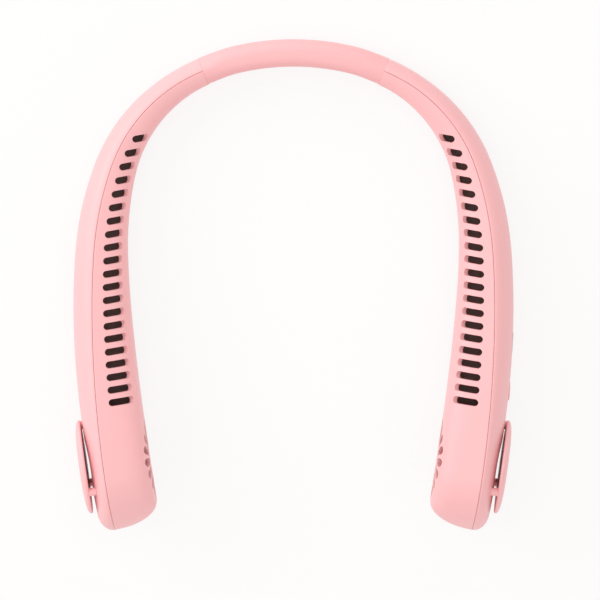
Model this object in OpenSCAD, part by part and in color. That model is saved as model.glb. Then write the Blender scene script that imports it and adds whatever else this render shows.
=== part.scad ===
// Neck fan: a U of two hollow arms joined by a flexible band, lying flat on its underside.
// Each arm is a loft along its seam, made of an outer and an inner casing half. A double-sided
// impeller in the end of each arm draws air in under a standing cap and through a petal grille,
// and blows it along the arm to two rows of slots.

/* [Arm path] */
// Distance of each arm's start from the middle, where the seam meets the band
arm_start_x = 39; // [36:0.5:42]
// Heading of the seam at that start, below the cross direction, in degrees
arm_start_turn = 21.5; // [20:0.5:23]
// Radius of the first bend, round the back of the neck
neck_r = 68; // [64:1:72]
// Turn of the first bend in degrees
neck_turn = 49.5; // [47:0.5:52]
// Radius of the second bend, over the shoulder
shoulder_r = 140; // [130:1:150]
// Turn of the second bend in degrees
shoulder_turn = 15.5; // [14:0.5:17]
// Radius of the third bend, along the side
side_r = 360; // [340:5:380]
// Turn of the third bend in degrees
side_turn = 4.5; // [4:0.25:5]
// Radius of the last bend, past the fan
end_r = 515; // [490:5:540]
// Turn of the last bend in degrees
end_turn = 10.2; // [9.5:0.1:10.5]

/* [Arm section] */
// Height of the arm where it meets the band
arm_band_h = 18; // [17.5:0.25:19]
// Height of the arm at the fan
arm_fan_h = 50; // [49:0.5:52]
// Greatest width outside the seam
outer_w = 8.2; // [8:0.1:8.8]
// Greatest width inside the seam, on the side of the neck
inner_w = 19.8; // [19.4:0.1:21]
// Wall of the casing halves
wall = 1.8; // [1.6:0.05:1.9]
// Length over which the outer half closes at the nose
nose_outer = 7; // [6:0.5:9]
// Length over which the inner half closes at the nose
nose_inner = 14.5; // [13:0.5:17]
// Length over which the height closes at the nose
nose_h = 25; // [22:0.5:28]
// Gap between the two casing halves
seam_gap = 0.1; // [0.06:0.02:0.2]

/* [Band] */
// Height of the band
band_h = 18; // [17:0.25:18.5]
// Band's reach outside its spring line
band_out = 5.3; // [5:0.1:5.8]
// Band's reach inside its spring line
band_in = 6.1; // [5.8:0.1:6.6]
// Half width of the stiff middle of the band, measured across
band_middle_x = 14; // [10:0.5:18]
// Thickness of the spring strip
strip_t = 0.6; // [0.4:0.05:0.8]
// Height of the spring strip
strip_h = 8; // [6:0.5:9]
// Radius of the cable between the arms
cable_r = 1.1; // [0.8:0.1:1.3]

/* [Air slots] */
// Number of slots in a row
slot_count = 21; // [17:1:23]
// Width of a slot
slot_w = 2.5; // [2:0.1:2.8]
// Depth of a slot below the casing's crest
slot_depth = 7; // [6.5:0.25:7.5]
// Distance along the seam of the first slot
slot_first = 40; // [38:0.5:44]
// Distance along the seam from the last slot to the fan's axis
slot_to_fan = 29; // [28.5:0.5:32]

/* [Fan] */
// Distance of the fan's axis from the tip of the arm, along the seam
fan_to_tip = 28.6; // [28:0.1:30]
// Outer radius of the fan housing, as a share of the arm's height
housing_share = 0.344; // [0.34:0.002:0.348]
// Radius of the rotor cup, as a share of the arm's height
rotor_share = 0.16; // [0.156:0.002:0.162]
// Width of the blade ring, from its inner to its outer radius
blade_w = 3.8; // [3.4:0.1:4.2]
// Width of the impeller along its axis
impeller_w = 10.4; // [9.6:0.1:10.4]
// Number of blades on each side
blade_count = 27; // [19:2:31]
// Thickness of a blade
blade_t = 0.7; // [0.5:0.05:0.9]
// Radius of the motor shaft
shaft_r = 0.75; // [0.6:0.05:0.9]

/* [Grille and cap] */
// Number of petals in the inner grille
petal_count = 18; // [14:1:20]
// Outer radius of the petals, as a share of the arm's height
petal_out_share = 0.392; // [0.38:0.002:0.4]
// Inner radius of the petals, as a share of the arm's height
petal_in_share = 0.14; // [0.12:0.005:0.16]
// Radius of the cap, as a share of the arm's height
cap_share = 0.408; // [0.392:0.002:0.42]
// Thickness of the cap in its middle
cap_t = 3.7; // [3.2:0.1:4.6]
// Thickness of the cap at its rim
cap_rim_t = 1.4; // [1.2:0.1:2]
// Gap between the cap and the casing
cap_gap = 1; // [0.9:0.1:1.6]
// Radius of the cap's posts
post_r = 1.8; // [1.6:0.05:1.9]
// Distance of the posts from the fan's axis, as a share of the arm's height
post_ring_share = 0.364; // [0.362:0.001:0.366]

/* [Controls] */
// Distance along the seam from the power button to the fan's axis
button_to_fan = 32; // [30:0.5:33]
// Radius of the power button
button_r = 4; // [3.5:0.1:4.2]
// Travel of the power button
button_travel = 0.5; // [0.3:0.05:0.55]
// Distance along the seam from the charge lights to the fan's axis
light_to_fan = 42; // [40:0.5:44]
// Distance along the seam from the charging socket to the fan's axis
usb_to_fan = 53; // [51.5:0.5:54.5]

/* [Hidden] */

// Colours
pink = "#f9bec0";
pink_silicone = "#f6b8bb";
dark_abs = "#3a3133";
steel = "#b9bcc0";
copper = "#b8784a";
board_green = "#2f6b4a";

// One overrun for all cuts
over = 1;
// Clearance between pieces that are put together
fit = 0.1;
// Radial clearance of the shaft in its bush
run = 0.03;

// Shape of the arm, as shares along the seam
place_shares = [0, 0.07, 0.14, 0.21, 0.28, 0.37, 0.46, 0.56, 0.65, 0.74, 0.84, 0.93, 1];
outer_w_shares = [0.58, 0.57, 0.64, 0.73, 0.83, 0.93, 0.98, 1, 0.99, 0.93, 0.83, 0.77, 0.75];
inner_w_shares = [0.35, 0.39, 0.445, 0.505, 0.57, 0.67, 0.75, 0.84, 0.91, 0.96, 1, 1, 1];
rise_shares = [0, 0.05, 0.11, 0.17, 0.25, 0.375, 0.5, 0.625, 0.75, 0.86, 0.95, 1, 1];
smooth_share = 0.03;
ridge_share = 0.2;
// Exponents of the section's outline: the inner half grows squarer towards the fan
outer_round_shares = [for (p = place_shares) 2.2];
inner_round_shares = [2.6, 2.6, 2.7, 2.85, 3, 3.3, 3.6, 3.9, 4.2, 4.6, 5.2, 5.5, 5.5];
band_round_share = 2.8;

// Facets of the loft
body_steps = 24;
nose_steps = 8;
half_steps = 10;

bend_radii = [neck_r, shoulder_r, side_r, end_r];
bend_turns = [neck_turn, shoulder_turn, side_turn, end_turn];

// Length of one bend along the seam
function bend_len(k) = bend_radii[k] * bend_turns[k] * PI / 180;

arm_len = bend_len(0) + bend_len(1) + bend_len(2) + bend_len(3);

// Distances along the seam of what is placed from the fan
fan_s = arm_len - fan_to_tip;
slot_last = fan_s - slot_to_fan;
button_s = fan_s - button_to_fan;
light_s = fan_s - light_to_fan;
usb_s = fan_s - usb_to_fan;

// Point p carried round a clockwise bend of radius r by angle a, from heading h
function turned(p, h, r, a) = [p[0] + r * (sin(h) - sin(h - a)), p[1] - r * (cos(h) - cos(h - a))];

// Point and heading of the seam at distance s, walked bend by bend
function walk(p, h, k, s) =
    k == len(bend_radii) - 1 || s <= bend_len(k)
    ? let(a = bend_turns[k] * s / bend_len(k)) concat(turned(p, h, bend_radii[k], a), h - a)
    : walk(turned(p, h, bend_radii[k], bend_turns[k]), h - bend_turns[k], k + 1, s - bend_len(k));

// The band's spring line is an arc that meets both seams, and the origin is midway along the object
band_r = arm_start_x / sin(arm_start_turn);
band_rise = band_r - band_r * cos(arm_start_turn) + band_out;
tip_drop = walk([arm_start_x, 0], -arm_start_turn, 0, arm_len)[1];
arm_start_y = -(tip_drop + band_rise) / 2;
band_y = arm_start_y - band_r * cos(arm_start_turn);
band_middle_turn = asin(band_middle_x / band_r);

function seam(s) = walk([arm_start_x, arm_start_y], -arm_start_turn, 0, s);

// Smoothed value of a table of shares at distance s
function share_at(shares, s) =
    let(
        t = [for (i = [0:len(shares) - 1]) [place_shares[i] * arm_len, shares[i]]],
        d = smooth_share * arm_len
    )
    (lookup(s - d, t) + 2 * lookup(s, t) + lookup(s + d, t)) / 4;

function height_at(s) = arm_band_h + (arm_fan_h - arm_band_h) * share_at(rise_shares, s);
function width_at(s, side) =
    side > 0 ? inner_w * share_at(inner_w_shares, s) : outer_w * share_at(outer_w_shares, s);

// Share left of a size that closes in a quarter round over the last stretch before end
function closing(s, end, stretch) =
    s <= end - stretch ? 1 : sqrt(max(0, 1 - pow((s - end + stretch) / stretch, 2)));

// Half width and half height of the section, set in from the skin
function half_w(s, side, inset) =
    (width_at(s, side) - inset)
    * closing(s, arm_len - inset, (side > 0 ? nose_inner : nose_outer) - inset);
function half_h(s, inset) = (height_at(s) / 2 - inset) * closing(s, arm_len - inset, nose_h - inset);

// Point u inward of the seam at distance s, at height z
function at(s, u, z) = let(p = seam(s)) [p[0] + u * sin(p[2]), p[1] - u * cos(p[2]), z];

function round_at(s, side) = share_at(side > 0 ? inner_round_shares : outer_round_shares, s);

// Point of the section's outline, phi degrees round from the crest
function skin_point(s, side, inset, phi) =
    let(
        n = round_at(s, side),
        u = half_w(s, side, inset) * pow(sin(phi), 2 / n),
        z = (half_h(s, inset) - ridge_share * u) * sign(cos(phi)) * pow(abs(cos(phi)), 2 / n)
    )
    at(s, side * (u + seam_gap / 2), height_at(s) / 2 + z);

// Height of the cavity's roof above mid height, u inward of the seam
function roof_at(s, u, inset) =
    let(side = sign(u), n = round_at(s, side), w = half_w(s, side, inset))
    (half_h(s, inset) - ridge_share * abs(u)) * pow(1 - pow(min(abs(u) / w, 1), n), 1 / n);

// Distances along the seam of the loft's rings
function ring_places(inset) = [
    for (i = [0:body_steps]) (arm_len - nose_h) * i / body_steps,
    for (i = [1:nose_steps - 1]) arm_len - nose_h + (nose_h - inset) * sin(90 * i / nose_steps)
];

// Triangles of the sides between rings of k points
function side_faces(rings, k) = [
    for (i = [0:rings - 2], j = [0:k - 1])
        let(a = i * k + j, b = i * k + (j + 1) % k)
        each [[a, b, b + k], [a, b + k, a + k]]
];

function reversed(faces, yes) = yes ? [for (f = faces) [for (i = [len(f) - 1:-1:0]) f[i]]] : faces;

// Closed solid through rings that run over the crest to the neck's side, with one ring's cap triangles
module skin(rings, caps) {
    last = (len(rings) - 1) * len(rings[0]);
    faces = concat(
        side_faces(len(rings), len(rings[0])),
        reversed(caps, true),
        [for (c = caps) [for (i = c) last + i]]
    );
    polyhedron(points = [for (r = rings) each r], faces = reversed(faces, true), convexity = 8);
}

// One half of an arm's casing as a closed wall, open where it meets the band
module casing_half(side) {
    m = half_steps;
    k = 2 * (m + 1);
    out_places = ring_places(0);
    in_places = ring_places(wall);
    n = len(out_places);
    rings = [
        for (i = [0:n - 1]) concat(
            [for (j = [0:m]) skin_point(out_places[i], side, 0, 180 * j / m)],
            [for (j = [m:-1:0]) skin_point(in_places[i], side, wall, 180 * j / m)]
        )
    ];
    tips = [
        at(arm_len, side * seam_gap / 2, height_at(arm_len) / 2),
        at(arm_len - wall, side * seam_gap / 2, height_at(arm_len) / 2)
    ];
    tip = n * k;
    end = (n - 1) * k;
    start_cap = [
        for (j = [0:m - 1]) each [[j, k - 1 - j, k - 2 - j], [j, k - 2 - j, j + 1]]
    ];
    nose = concat(
        [for (j = [0:m - 1]) [end + j, end + j + 1, tip]],
        [[end + m, end + m + 1, tip + 1], [end + m, tip + 1, tip]],
        [for (j = [m + 1:k - 2]) [end + j, end + j + 1, tip + 1]],
        [[end + k - 1, end, tip], [end + k - 1, tip, tip + 1]]
    );
    polyhedron(
        points = concat([for (r = rings) each r], tips),
        faces = reversed(concat(side_faces(n, k), start_cap, nose), side > 0),
        convexity = 8
    );
}

// One half of the space inside a skin set in by inset, solid from the seam outwards
module casing_core(side, inset) {
    k = half_steps + 1;
    places = ring_places(inset);
    n = len(places);
    points = concat(
        [for (s = places, j = [0:half_steps]) skin_point(s, side, inset, 180 * j / half_steps)],
        [at(arm_len - inset, side * seam_gap / 2, height_at(arm_len) / 2)]
    );
    faces = concat(
        side_faces(n, k),
        [for (j = [1:half_steps - 1]) [0, j + 1, j]],
        [for (j = [0:half_steps]) [(n - 1) * k + j, (n - 1) * k + (j + 1) % k, n * k]]
    );
    polyhedron(points = points, faces = reversed(faces, side > 0), convexity = 4);
}

// Frame at distance s with its z axis pointing inward, square to the seam, at mid height
module wall_frame(s) {
    p = seam(s);
    translate([p[0], p[1], height_at(s) / 2]) rotate([0, 0, p[2] - 90]) rotate([0, 90, 0]) children();
}

module fan_frame() {
    wall_frame(fan_s) children();
}

module mirrored_arm(left) {
    mirror([left ? 1 : 0, 0, 0]) children();
}

// Ring of copies, the first one turned to start, about the z axis
module around(count, start = 0) {
    for (i = [0:count - 1]) rotate(start + 360 * i / count) children();
}

module tube(r_out, r_in, from, to) {
    translate([0, 0, from]) difference() {
        cylinder(r = r_out, h = to - from, $fn = 64);
        translate([0, 0, -over]) cylinder(r = r_in, h = to - from + 2 * over, $fn = 64);
    }
}

module rod(r, from, to) {
    translate([0, 0, from]) cylinder(r = r, h = to - from, $fn = 48);
}

// Levels across the arm at the fan, along the fan's axis
skin_out = -width_at(fan_s, -1);
boss_h = 1.85;
boss_top = skin_out + wall + boss_h;

// Fan levels, from the outer wall inwards
plate_t = 1;
plate_top = boss_top + plate_t;
impeller_gap = 1.2;
impeller_low = plate_top + impeller_gap;
impeller_top = impeller_low + impeller_w;
cover_gap = 0.7;
cover_low = impeller_top + cover_gap;
cover_t = 0.8;

// Screws
screw_r = 0.8;
screw_head_r = 1.3;
screw_head_h = 0.8;
screw_len = 4.5;
screw_count = 3;

// Housing, with its screw bosses inside its wall and the impeller over them
housing_r = housing_share * arm_fan_h;
housing_wall = 1;
outlet_step = 1.8;
outlet_half = housing_r - outlet_step;
outlet_over = 1.8;
outlet_reach = housing_r + outlet_over;
boss_r = 1.6;
boss_ring_r = housing_r - housing_wall - screw_head_r - fit;
impeller_gap_r = 1;
impeller_r = housing_r - housing_wall - impeller_gap_r;
blade_in_r = impeller_r - blade_w;
inlet_step = 2.6;
inlet_r = impeller_r - inlet_step;
rotor_r = rotor_share * arm_fan_h;
motor_seat_step = 0.4;
motor_seat_r = rotor_r + motor_seat_step;
spoke_w = 2.2;

// Cap fixings
cap_r = cap_share * arm_fan_h;
post_ring_r = post_ring_share * arm_fan_h;
cap_boss_r = 3;
cap_head_r = 1.8;
cap_head_h = 1;
cap_screw_len = 5;
nose_boss_r = 2;
nose_boss_gap = 0.3;
nose_boss_y = housing_r + nose_boss_r + nose_boss_gap;
pilot_depth_share = 0.6;

// Intake in the outer wall, inside the bosses
intake_r = boss_ring_r - boss_r - 2 * fit;
guard_t = 0.8;
guard_bar = 1;
guard_rings = 3;
guard_spokes = 6;

// Motor
bush_r = 1.9;
seat_tube_r = 2.6;
stator_step = 1.8;
stator_r = rotor_r - stator_step;
stator_h = 4.6;
stator_poles = 6;
pole_gap_share = 4 / 9;
pole_gap = pole_gap_share * (stator_r - seat_tube_r);
cup_t = 0.6;
magnet_gap = 0.3;
motor_board_t = 0.6;
motor_board_r = rotor_r - motor_seat_step;
hub_wall = 0.8;
web_t = 0.8;
rim_w = 1;
rim_t = 0.6;

cup_low = impeller_low;
cup_top = cup_low + stator_h + 3 * cup_t;

// Outline of the band's section round its spring line
function band_point(a) =
    let(c = cos(a), q = sin(a), reach = c > 0 ? band_out : band_in)
    [
        band_r + reach * sign(c) * pow(abs(c), 2 / band_round_share),
        band_h / 2 * (1 + sign(q) * pow(abs(q), 2 / band_round_share))
    ];

band_sides = 28;
strip_offset = 1.4;
cable_offset = -2.4;
strip_slot = fit;
spring_reach = 4;
cable_reach = 9;

// Stretch of the band from one turn to another, measured from the middle towards the right arm
module band_stretch(from, to) {
    translate([0, band_y, 0]) difference() {
        rotate_extrude(start = 90 - to, angle = to - from, $fn = 96)
            polygon([for (i = [0:band_sides - 1]) band_point(360 * (i + 0.5) / band_sides)]);
        band_bores(from - over, to + over);
    }
}

// Bores for the spring strip and the cable, about the band's centre
module band_bores(from, to) {
    rotate_extrude(start = 90 - to, angle = to - from, $fn = 96) {
        translate([band_r + strip_offset - strip_t / 2 - strip_slot, (band_h - strip_h) / 2 - strip_slot])
            square([strip_t + 2 * strip_slot, strip_h + 2 * strip_slot]);
        translate([band_r + cable_offset, band_h / 2]) circle(r = cable_r + strip_slot, $fn = 24);
    }
}

module band_center() {
    color(pink_silicone) band_stretch(-band_middle_turn, band_middle_turn);
}

module band_flex_left() {
    color(pink_silicone) band_stretch(-arm_start_turn, -band_middle_turn);
}

module band_flex_right() {
    color(pink_silicone) band_stretch(band_middle_turn, arm_start_turn);
}

// Sweep of an outline along the band, past both of its ends by reach
module band_sweep(reach) {
    turn = arm_start_turn + reach / band_r * 180 / PI;
    translate([0, band_y, 0]) rotate_extrude(start = 90 - turn, angle = 2 * turn, $fn = 96) children();
}

module band_spring() {
    color(steel) band_sweep(spring_reach)
        translate([band_r + strip_offset - strip_t / 2, (band_h - strip_h) / 2])
            square([strip_t, strip_h]);
}

module band_cable() {
    color(dark_abs) band_sweep(cable_reach)
        translate([band_r + cable_offset, band_h / 2]) circle(r = cable_r, $fn = 24);
}

// Plug that fills the start of the arm and carries the ends of the band
plug_len = ring_places(0)[1];
plug_fit = 0.3;

// Frame at the band's end with x along the arm and y inward
module plug_frame() {
    p = seam(0);
    translate([p[0], p[1], band_h / 2]) rotate([180, 0, p[2]]) children();
}

module band_plug() {
    m = half_steps;
    inset = wall + fit;
    rings = [
        for (s = [0, plug_len]) concat(
            [for (j = [0:m]) skin_point(s, 1, inset, 180 * j / m)],
            [for (j = [m:-1:0]) skin_point(s, -1, inset, 180 * j / m)]
        )
    ];
    k = 2 * (m + 1);
    caps = [for (j = [0:m - 1]) each [[j, k - 2 - j, k - 1 - j], [j, j + 1, k - 2 - j]]];
    color(dark_abs) difference() {
        skin(rings, caps);
        plug_frame() {
            translate([-over, -strip_offset - strip_t / 2 - plug_fit, -strip_h / 2 - plug_fit])
                cube([spring_reach + plug_fit + over, strip_t + 2 * plug_fit, strip_h + 2 * plug_fit]);
            translate([-over, -cable_offset + plug_fit / 2, 0]) rotate([0, 90, 0])
                cylinder(r = cable_r + plug_fit, h = plug_len + 2 * over, $fn = 32);
        }
    }
}

// Air slots
slot_spread_share = 0.93;
slot_in_share = 0.27;
slot_round_steps = 6;

// Slot outline from its round end at u inward past the wall
function slot_outline(from, to) = concat(
    [
        for (i = [0:slot_round_steps])
            let(a = 90 + 180 * i / slot_round_steps)
            [from + slot_w / 2 * (1 + cos(a)), slot_w / 2 * sin(a)]
    ],
    [[to, -slot_w / 2], [to, slot_w / 2]]
);

function slot_place(i) =
    slot_first + (slot_last - slot_first) * pow(i / (slot_count - 1), slot_spread_share);

// Tool for a slot over the arm's middle, with x inward: a prism, and the half round floor under it
module slot_tool(w, h) {
    floor_r = slot_w / 2;
    from = slot_in_share * w;
    translate([0, 0, h / 2 - slot_depth + floor_r]) {
        linear_extrude(slot_depth - floor_r + over) polygon(slot_outline(from, w + over));
        translate([from + floor_r, 0, 0]) rotate([90, 0, 90]) linear_extrude(w + over - from - floor_r)
            polygon([
                for (i = [0:slot_round_steps])
                    let(a = 180 * i / slot_round_steps)
                    [-floor_r * cos(a), -floor_r * sin(a)]
            ]);
    }
}

// Slots in two rows, through the upper side and the underside
module slots() {
    for (i = [0:slot_count - 1], under = [0, 1]) {
        s = slot_place(i);
        p = seam(s);
        translate([p[0], p[1], height_at(s) / 2]) rotate([0, 0, p[2] - 90]) mirror([0, 0, under])
            slot_tool(width_at(s, 1), height_at(s));
    }
}

// Petal grille
petal_fill_share = 0.62;
petal_round_steps = 6;
grille_depth = 12;

// Petal outline along +x, narrow at its root and round at its end
function petal_outline(r_in, r_out) =
    let(
        end_w = petal_fill_share * PI * r_out / petal_count,
        root_w = petal_fill_share * PI * r_in / petal_count,
        c = r_out - end_w
    )
    concat(
        [[r_in, -root_w]],
        [
            for (i = [0:petal_round_steps])
                let(a = -90 + 180 * i / petal_round_steps)
                [c + end_w * cos(a), end_w * sin(a)]
        ],
        [[r_in, root_w]]
    );

module petals() {
    fan_frame() translate([0, 0, width_at(fan_s, 1) - grille_depth])
        around(petal_count, 180 / petal_count)
            linear_extrude(grille_depth + over)
                polygon(petal_outline(petal_in_share * arm_fan_h, petal_out_share * arm_fan_h));
}

module inner_shell() {
    color(pink) difference() {
        union() {
            casing_half(1);
            intersection() {
                casing_core(1, wall / 2);
                fan_frame() translate([0, nose_boss_y, -seam_gap]) rod(nose_boss_r, 0, inner_w);
            }
        }
        slots();
        petals();
        fan_frame() translate([0, nose_boss_y, 0]) rod(screw_r - fit, -over, screw_len);
    }
}

// Level of the nose screw's head seat
nose_head_seat = -half_w(fan_s + nose_boss_y, -1, wall) + wall / 2;

module post_places() {
    around(screw_count, -90) translate([post_ring_r, 0, 0]) children();
}

module boss_places() {
    around(screw_count, 90) translate([boss_ring_r, 0, 0]) children();
}

module outer_shell(controls) {
    color(pink) difference() {
        union() {
            casing_half(-1);
            intersection() {
                casing_core(-1, wall / 2);
                fan_frame() {
                    boss_places() rod(boss_r, skin_out - over, boss_top);
                    post_places() rod(cap_boss_r, skin_out - over, boss_top - fit);
                    translate([0, nose_boss_y, 0]) rod(nose_boss_r, skin_out - over, over);
                }
            }
        }
        fan_frame() {
            rod(intake_r, skin_out - over, boss_top);
            boss_places() rod(screw_r - fit, skin_out + pilot_depth_share * wall, boss_top + over);
            post_places() rod(post_r + fit, skin_out - over, boss_top + over);
            translate([0, nose_boss_y, 0]) {
                rod(screw_r + fit, skin_out - over, over);
                rod(screw_head_r + fit, skin_out - over, nose_head_seat);
            }
        }
        if (controls) {
            control_frame(button_s) rod(button_r + fit, -outer_w - over, 0);
            control_frame(light_s) light_places() rod(light_r + fit, -outer_w - over, 0);
            control_frame(usb_s) translate([0, 0, -outer_w - over])
                linear_extrude(outer_w) usb_outline(usb_h + 2 * fit, usb_w + 2 * fit);
        }
    }
}

// Cap
cap_in = skin_out - cap_gap;
dome_steps = 12;

module outer_cap() {
    rim = cap_in - cap_rim_t / 2;
    color(pink) fan_frame() difference() {
        union() {
            rotate_extrude($fn = 96) polygon(concat(
                [[0, cap_in], [cap_r - cap_rim_t / 2, cap_in], [cap_r, rim]],
                [
                    for (i = [1:dome_steps])
                        let(a = 90 * i / dome_steps)
                        [cap_r * cos(a), rim - (cap_t - cap_rim_t / 2) * sin(a)]
                ]
            ));
            post_places() rod(post_r, cap_in - cap_rim_t / 4, boss_top - 2 * fit);
        }
        post_places() rod(screw_r - fit, boss_top - cap_screw_len, boss_top + over);
    }
}

module cap_screws() {
    color(steel) fan_frame() post_places() {
        rod(cap_head_r, boss_top - fit, boss_top - fit + cap_head_h);
        rod(screw_r - fit, boss_top - cap_screw_len + fit, boss_top);
    }
}

module shell_screw() {
    color(steel) fan_frame() translate([0, nose_boss_y, 0]) {
        rod(screw_head_r, nose_head_seat - screw_head_h, nose_head_seat);
        rod(screw_r - fit, nose_head_seat - screw_head_h / 2, screw_len - fit);
    }
}

module housing_screws() {
    color(steel) fan_frame() boss_places() {
        rod(screw_head_r, plate_top, plate_top + screw_head_h);
        rod(screw_r - fit, plate_top - screw_len / 2, plate_top + screw_head_h / 2);
    }
}

// Round guard set in the intake
module intake_guard() {
    low = skin_out + wall / 2;
    step = (intake_r - motor_seat_r / 2) / guard_rings;
    color(dark_abs) fan_frame() {
        difference() {
            rod(intake_r - fit, low, low + guard_t);
            difference() {
                for (i = [0:guard_rings - 1]) {
                    r = intake_r - i * step;
                    tube(r - guard_bar, r - step, low - over, low + guard_t + over);
                }
                around(guard_spokes) translate([0, -guard_bar / 2, low - 2 * over])
                    cube([intake_r, guard_bar, guard_t + 4 * over]);
            }
        }
    }
}

// Housing
module housing_outline(inset) {
    circle(r = housing_r - inset, $fn = 96);
    translate([-outlet_half + inset, -outlet_reach]) square([2 * (outlet_half - inset), outlet_reach]);
}

module fan_housing() {
    color(dark_abs) fan_frame() difference() {
        union() {
            translate([0, 0, boss_top]) linear_extrude(plate_t) housing_outline(0);
            translate([0, 0, plate_top]) linear_extrude(cover_low - plate_top) difference() {
                housing_outline(0);
                housing_outline(housing_wall);
                translate([-outlet_half + housing_wall, -outlet_reach - over])
                    square([2 * (outlet_half - housing_wall), outlet_reach]);
            }
            rod(seat_tube_r, boss_top, cup_low + stator_h);
        }
        difference() {
            tube(inlet_r, motor_seat_r, boss_top - over, plate_top + over);
            around(screw_count, -90) translate([0, -spoke_w / 2, boss_top - 2 * over])
                cube([housing_r, spoke_w, plate_t + 4 * over]);
        }
        rod(bush_r + fit / 2, boss_top + plate_t / 2, cup_low + stator_h + over);
        boss_places() rod(screw_r, boss_top - over, plate_top + over);
        post_places() rod(cap_boss_r + fit, boss_top - over, plate_top);
    }
}

module fan_cover() {
    color(dark_abs) fan_frame() translate([0, 0, cover_low]) linear_extrude(cover_t) difference() {
        housing_outline(0);
        circle(r = inlet_r, $fn = 96);
    }
}

module motor_board() {
    color(board_green) fan_frame()
        tube(motor_board_r, seat_tube_r + fit / 2, plate_top, plate_top + motor_board_t);
}

module motor_stator() {
    low = plate_top + motor_board_t;
    color(copper) fan_frame() difference() {
        tube(stator_r, seat_tube_r + fit / 2, low, cup_low + stator_h);
        around(stator_poles) {
            translate([stator_r - pole_gap / 2, -pole_gap / 4, low - over])
                cube([stator_r, pole_gap / 2, stator_h + 4 * over]);
            translate([(stator_r + seat_tube_r) / 2, 0, low - over])
                cylinder(r = pole_gap / 2, h = stator_h + 4 * over, $fn = 24);
        }
    }
}

module shaft_bush() {
    color("#c9a15a") fan_frame() tube(bush_r, shaft_r + run, boss_top + plate_t / 2, cup_low + stator_h);
}

module motor_shaft() {
    color(steel) fan_frame() rod(shaft_r, boss_top + plate_t / 2 + fit, cup_top + hub_wall);
}

module rotor_cup() {
    color(steel) fan_frame() {
        tube(rotor_r, rotor_r - cup_t, cup_low, cup_top);
        tube(rotor_r - cup_t / 2, shaft_r, cup_top - cup_t, cup_top);
    }
}

module rotor_magnet() {
    color("#4b4b50") fan_frame()
        tube(rotor_r - cup_t, stator_r + magnet_gap, cup_low + cup_t / 2, cup_low + stator_h);
}

// Impeller with curved blades on both sides of its web
blade_steps = 4;
blade_sweep = 24;
blade_lean = 10;

// Middle line of a blade, from the inner radius to the rim
function blade_mid(i, offset) =
    let(
        share = i / blade_steps,
        r = blade_in_r + (impeller_r - rim_w / 2 - blade_in_r) * share,
        a = blade_lean * share + blade_sweep * share * share,
        t = offset / r * 180 / PI
    )
    [r * cos(a + t), r * sin(a + t)];

module blade() {
    polygon(concat(
        [for (i = [0:blade_steps]) blade_mid(i, blade_t / 2)],
        [for (i = [blade_steps:-1:0]) blade_mid(i, -blade_t / 2)]
    ));
}

module impeller() {
    hub_top = cup_top + hub_wall;
    web_low = impeller_low + (impeller_w - web_t) / 2;
    color(dark_abs) fan_frame() {
        difference() {
            union() {
                rod(rotor_r + hub_wall, impeller_low + fit, hub_top);
                rod((blade_in_r + impeller_r) / 2, web_low, web_low + web_t);
                tube(impeller_r, impeller_r - rim_w, impeller_low, impeller_low + rim_t);
                tube(impeller_r, impeller_r - rim_w, impeller_top - rim_t, impeller_top);
                translate([0, 0, impeller_low + rim_t / 2]) linear_extrude(impeller_w - rim_t)
                    around(blade_count) blade();
            }
            rod(rotor_r, impeller_low - over, cup_top);
            rod(shaft_r, cup_top - over, hub_top + over);
        }
    }
}

// Air guide: an upright wall that parts the duct from the cell, with a shelf towards the neck
guide_first = 22;
guide_to_fan = 22;
guide_last = fan_s - guide_to_fan;
guide_steps = 20;
guide_t = 0.8;
guide_gap = 0.3;
guide_u_shares = [[0, 0.1], [0.1, 0.4], [0.3, 0.5], [0.78, 0.5], [1, 0.2]];
guide_u = 3.2;

module air_guide() {
    rings = [
        for (i = [0:guide_steps])
            let(
                share = i / guide_steps,
                s = guide_first + (guide_last - guide_first) * share,
                u1 = guide_u * lookup(share, guide_u_shares),
                u2 = u1 + guide_t,
                u3 = half_w(s, 1, wall) - guide_gap,
                mid = height_at(s) / 2,
                z = roof_at(s, u2, wall) - guide_gap,
                t = guide_t / 2
            )
            [
                at(s, u1, mid + z), at(s, u2, mid + z), at(s, u2, mid + t), at(s, u3, mid + t),
                at(s, u3, mid - t), at(s, u2, mid - t), at(s, u2, mid - z), at(s, u1, mid - z)
            ]
    ];
    caps = [[0, 1, 2], [0, 2, 5], [0, 5, 6], [0, 6, 7], [2, 3, 4], [2, 4, 5]];
    color(dark_abs) skin(rings, caps);
}

// Cell
cell_to_fan = 82;
cell_s = fan_s - cell_to_fan;
cell_len = 42;
cell_t = 4.6;
cell_h = 16;
cell_round = 1.5;
cell_u = -1;

module battery() {
    color("#8fa3b8") wall_frame(cell_s) translate([0, 0, cell_u - cell_t / 2])
        linear_extrude(cell_t) difference() {
            square([cell_h, cell_len], center = true);
            for (x = [-1, 1], y = [-1, 1])
                translate([x * cell_h / 2, y * cell_len / 2]) rotate(45)
                    square(cell_round * sqrt(2), center = true);
        }
}

// Leads from the band's plug, over the cell, to the motor
lead_r = 0.7;
lead_sides = 8;
// Distance along the seam, distance inward and share of the cavity's height of each turn in the route
lead_route_shares = [
    [0.042, 0.22, 0], [0.07, 0.06, 0], [0.1, -0.1, 0.1], [0.16, -0.12, 0.3], [0.22, -0.14, 0.6],
    [0.29, -0.14, 0.85], [0.36, -0.14, 1], [0.43, -0.14, 1], [0.5, -0.14, 1], [0.57, -0.14, 1],
    [0.63, -0.16, 1], [0.69, -0.24, 0.8], [0.73, -0.34, 0.6], [0.76, -0.46, 0.45],
    [0.79, -0.5, 0.6], [0.82, -0.49, 0.45], [0.845, -0.48, 0.15]
];

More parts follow.
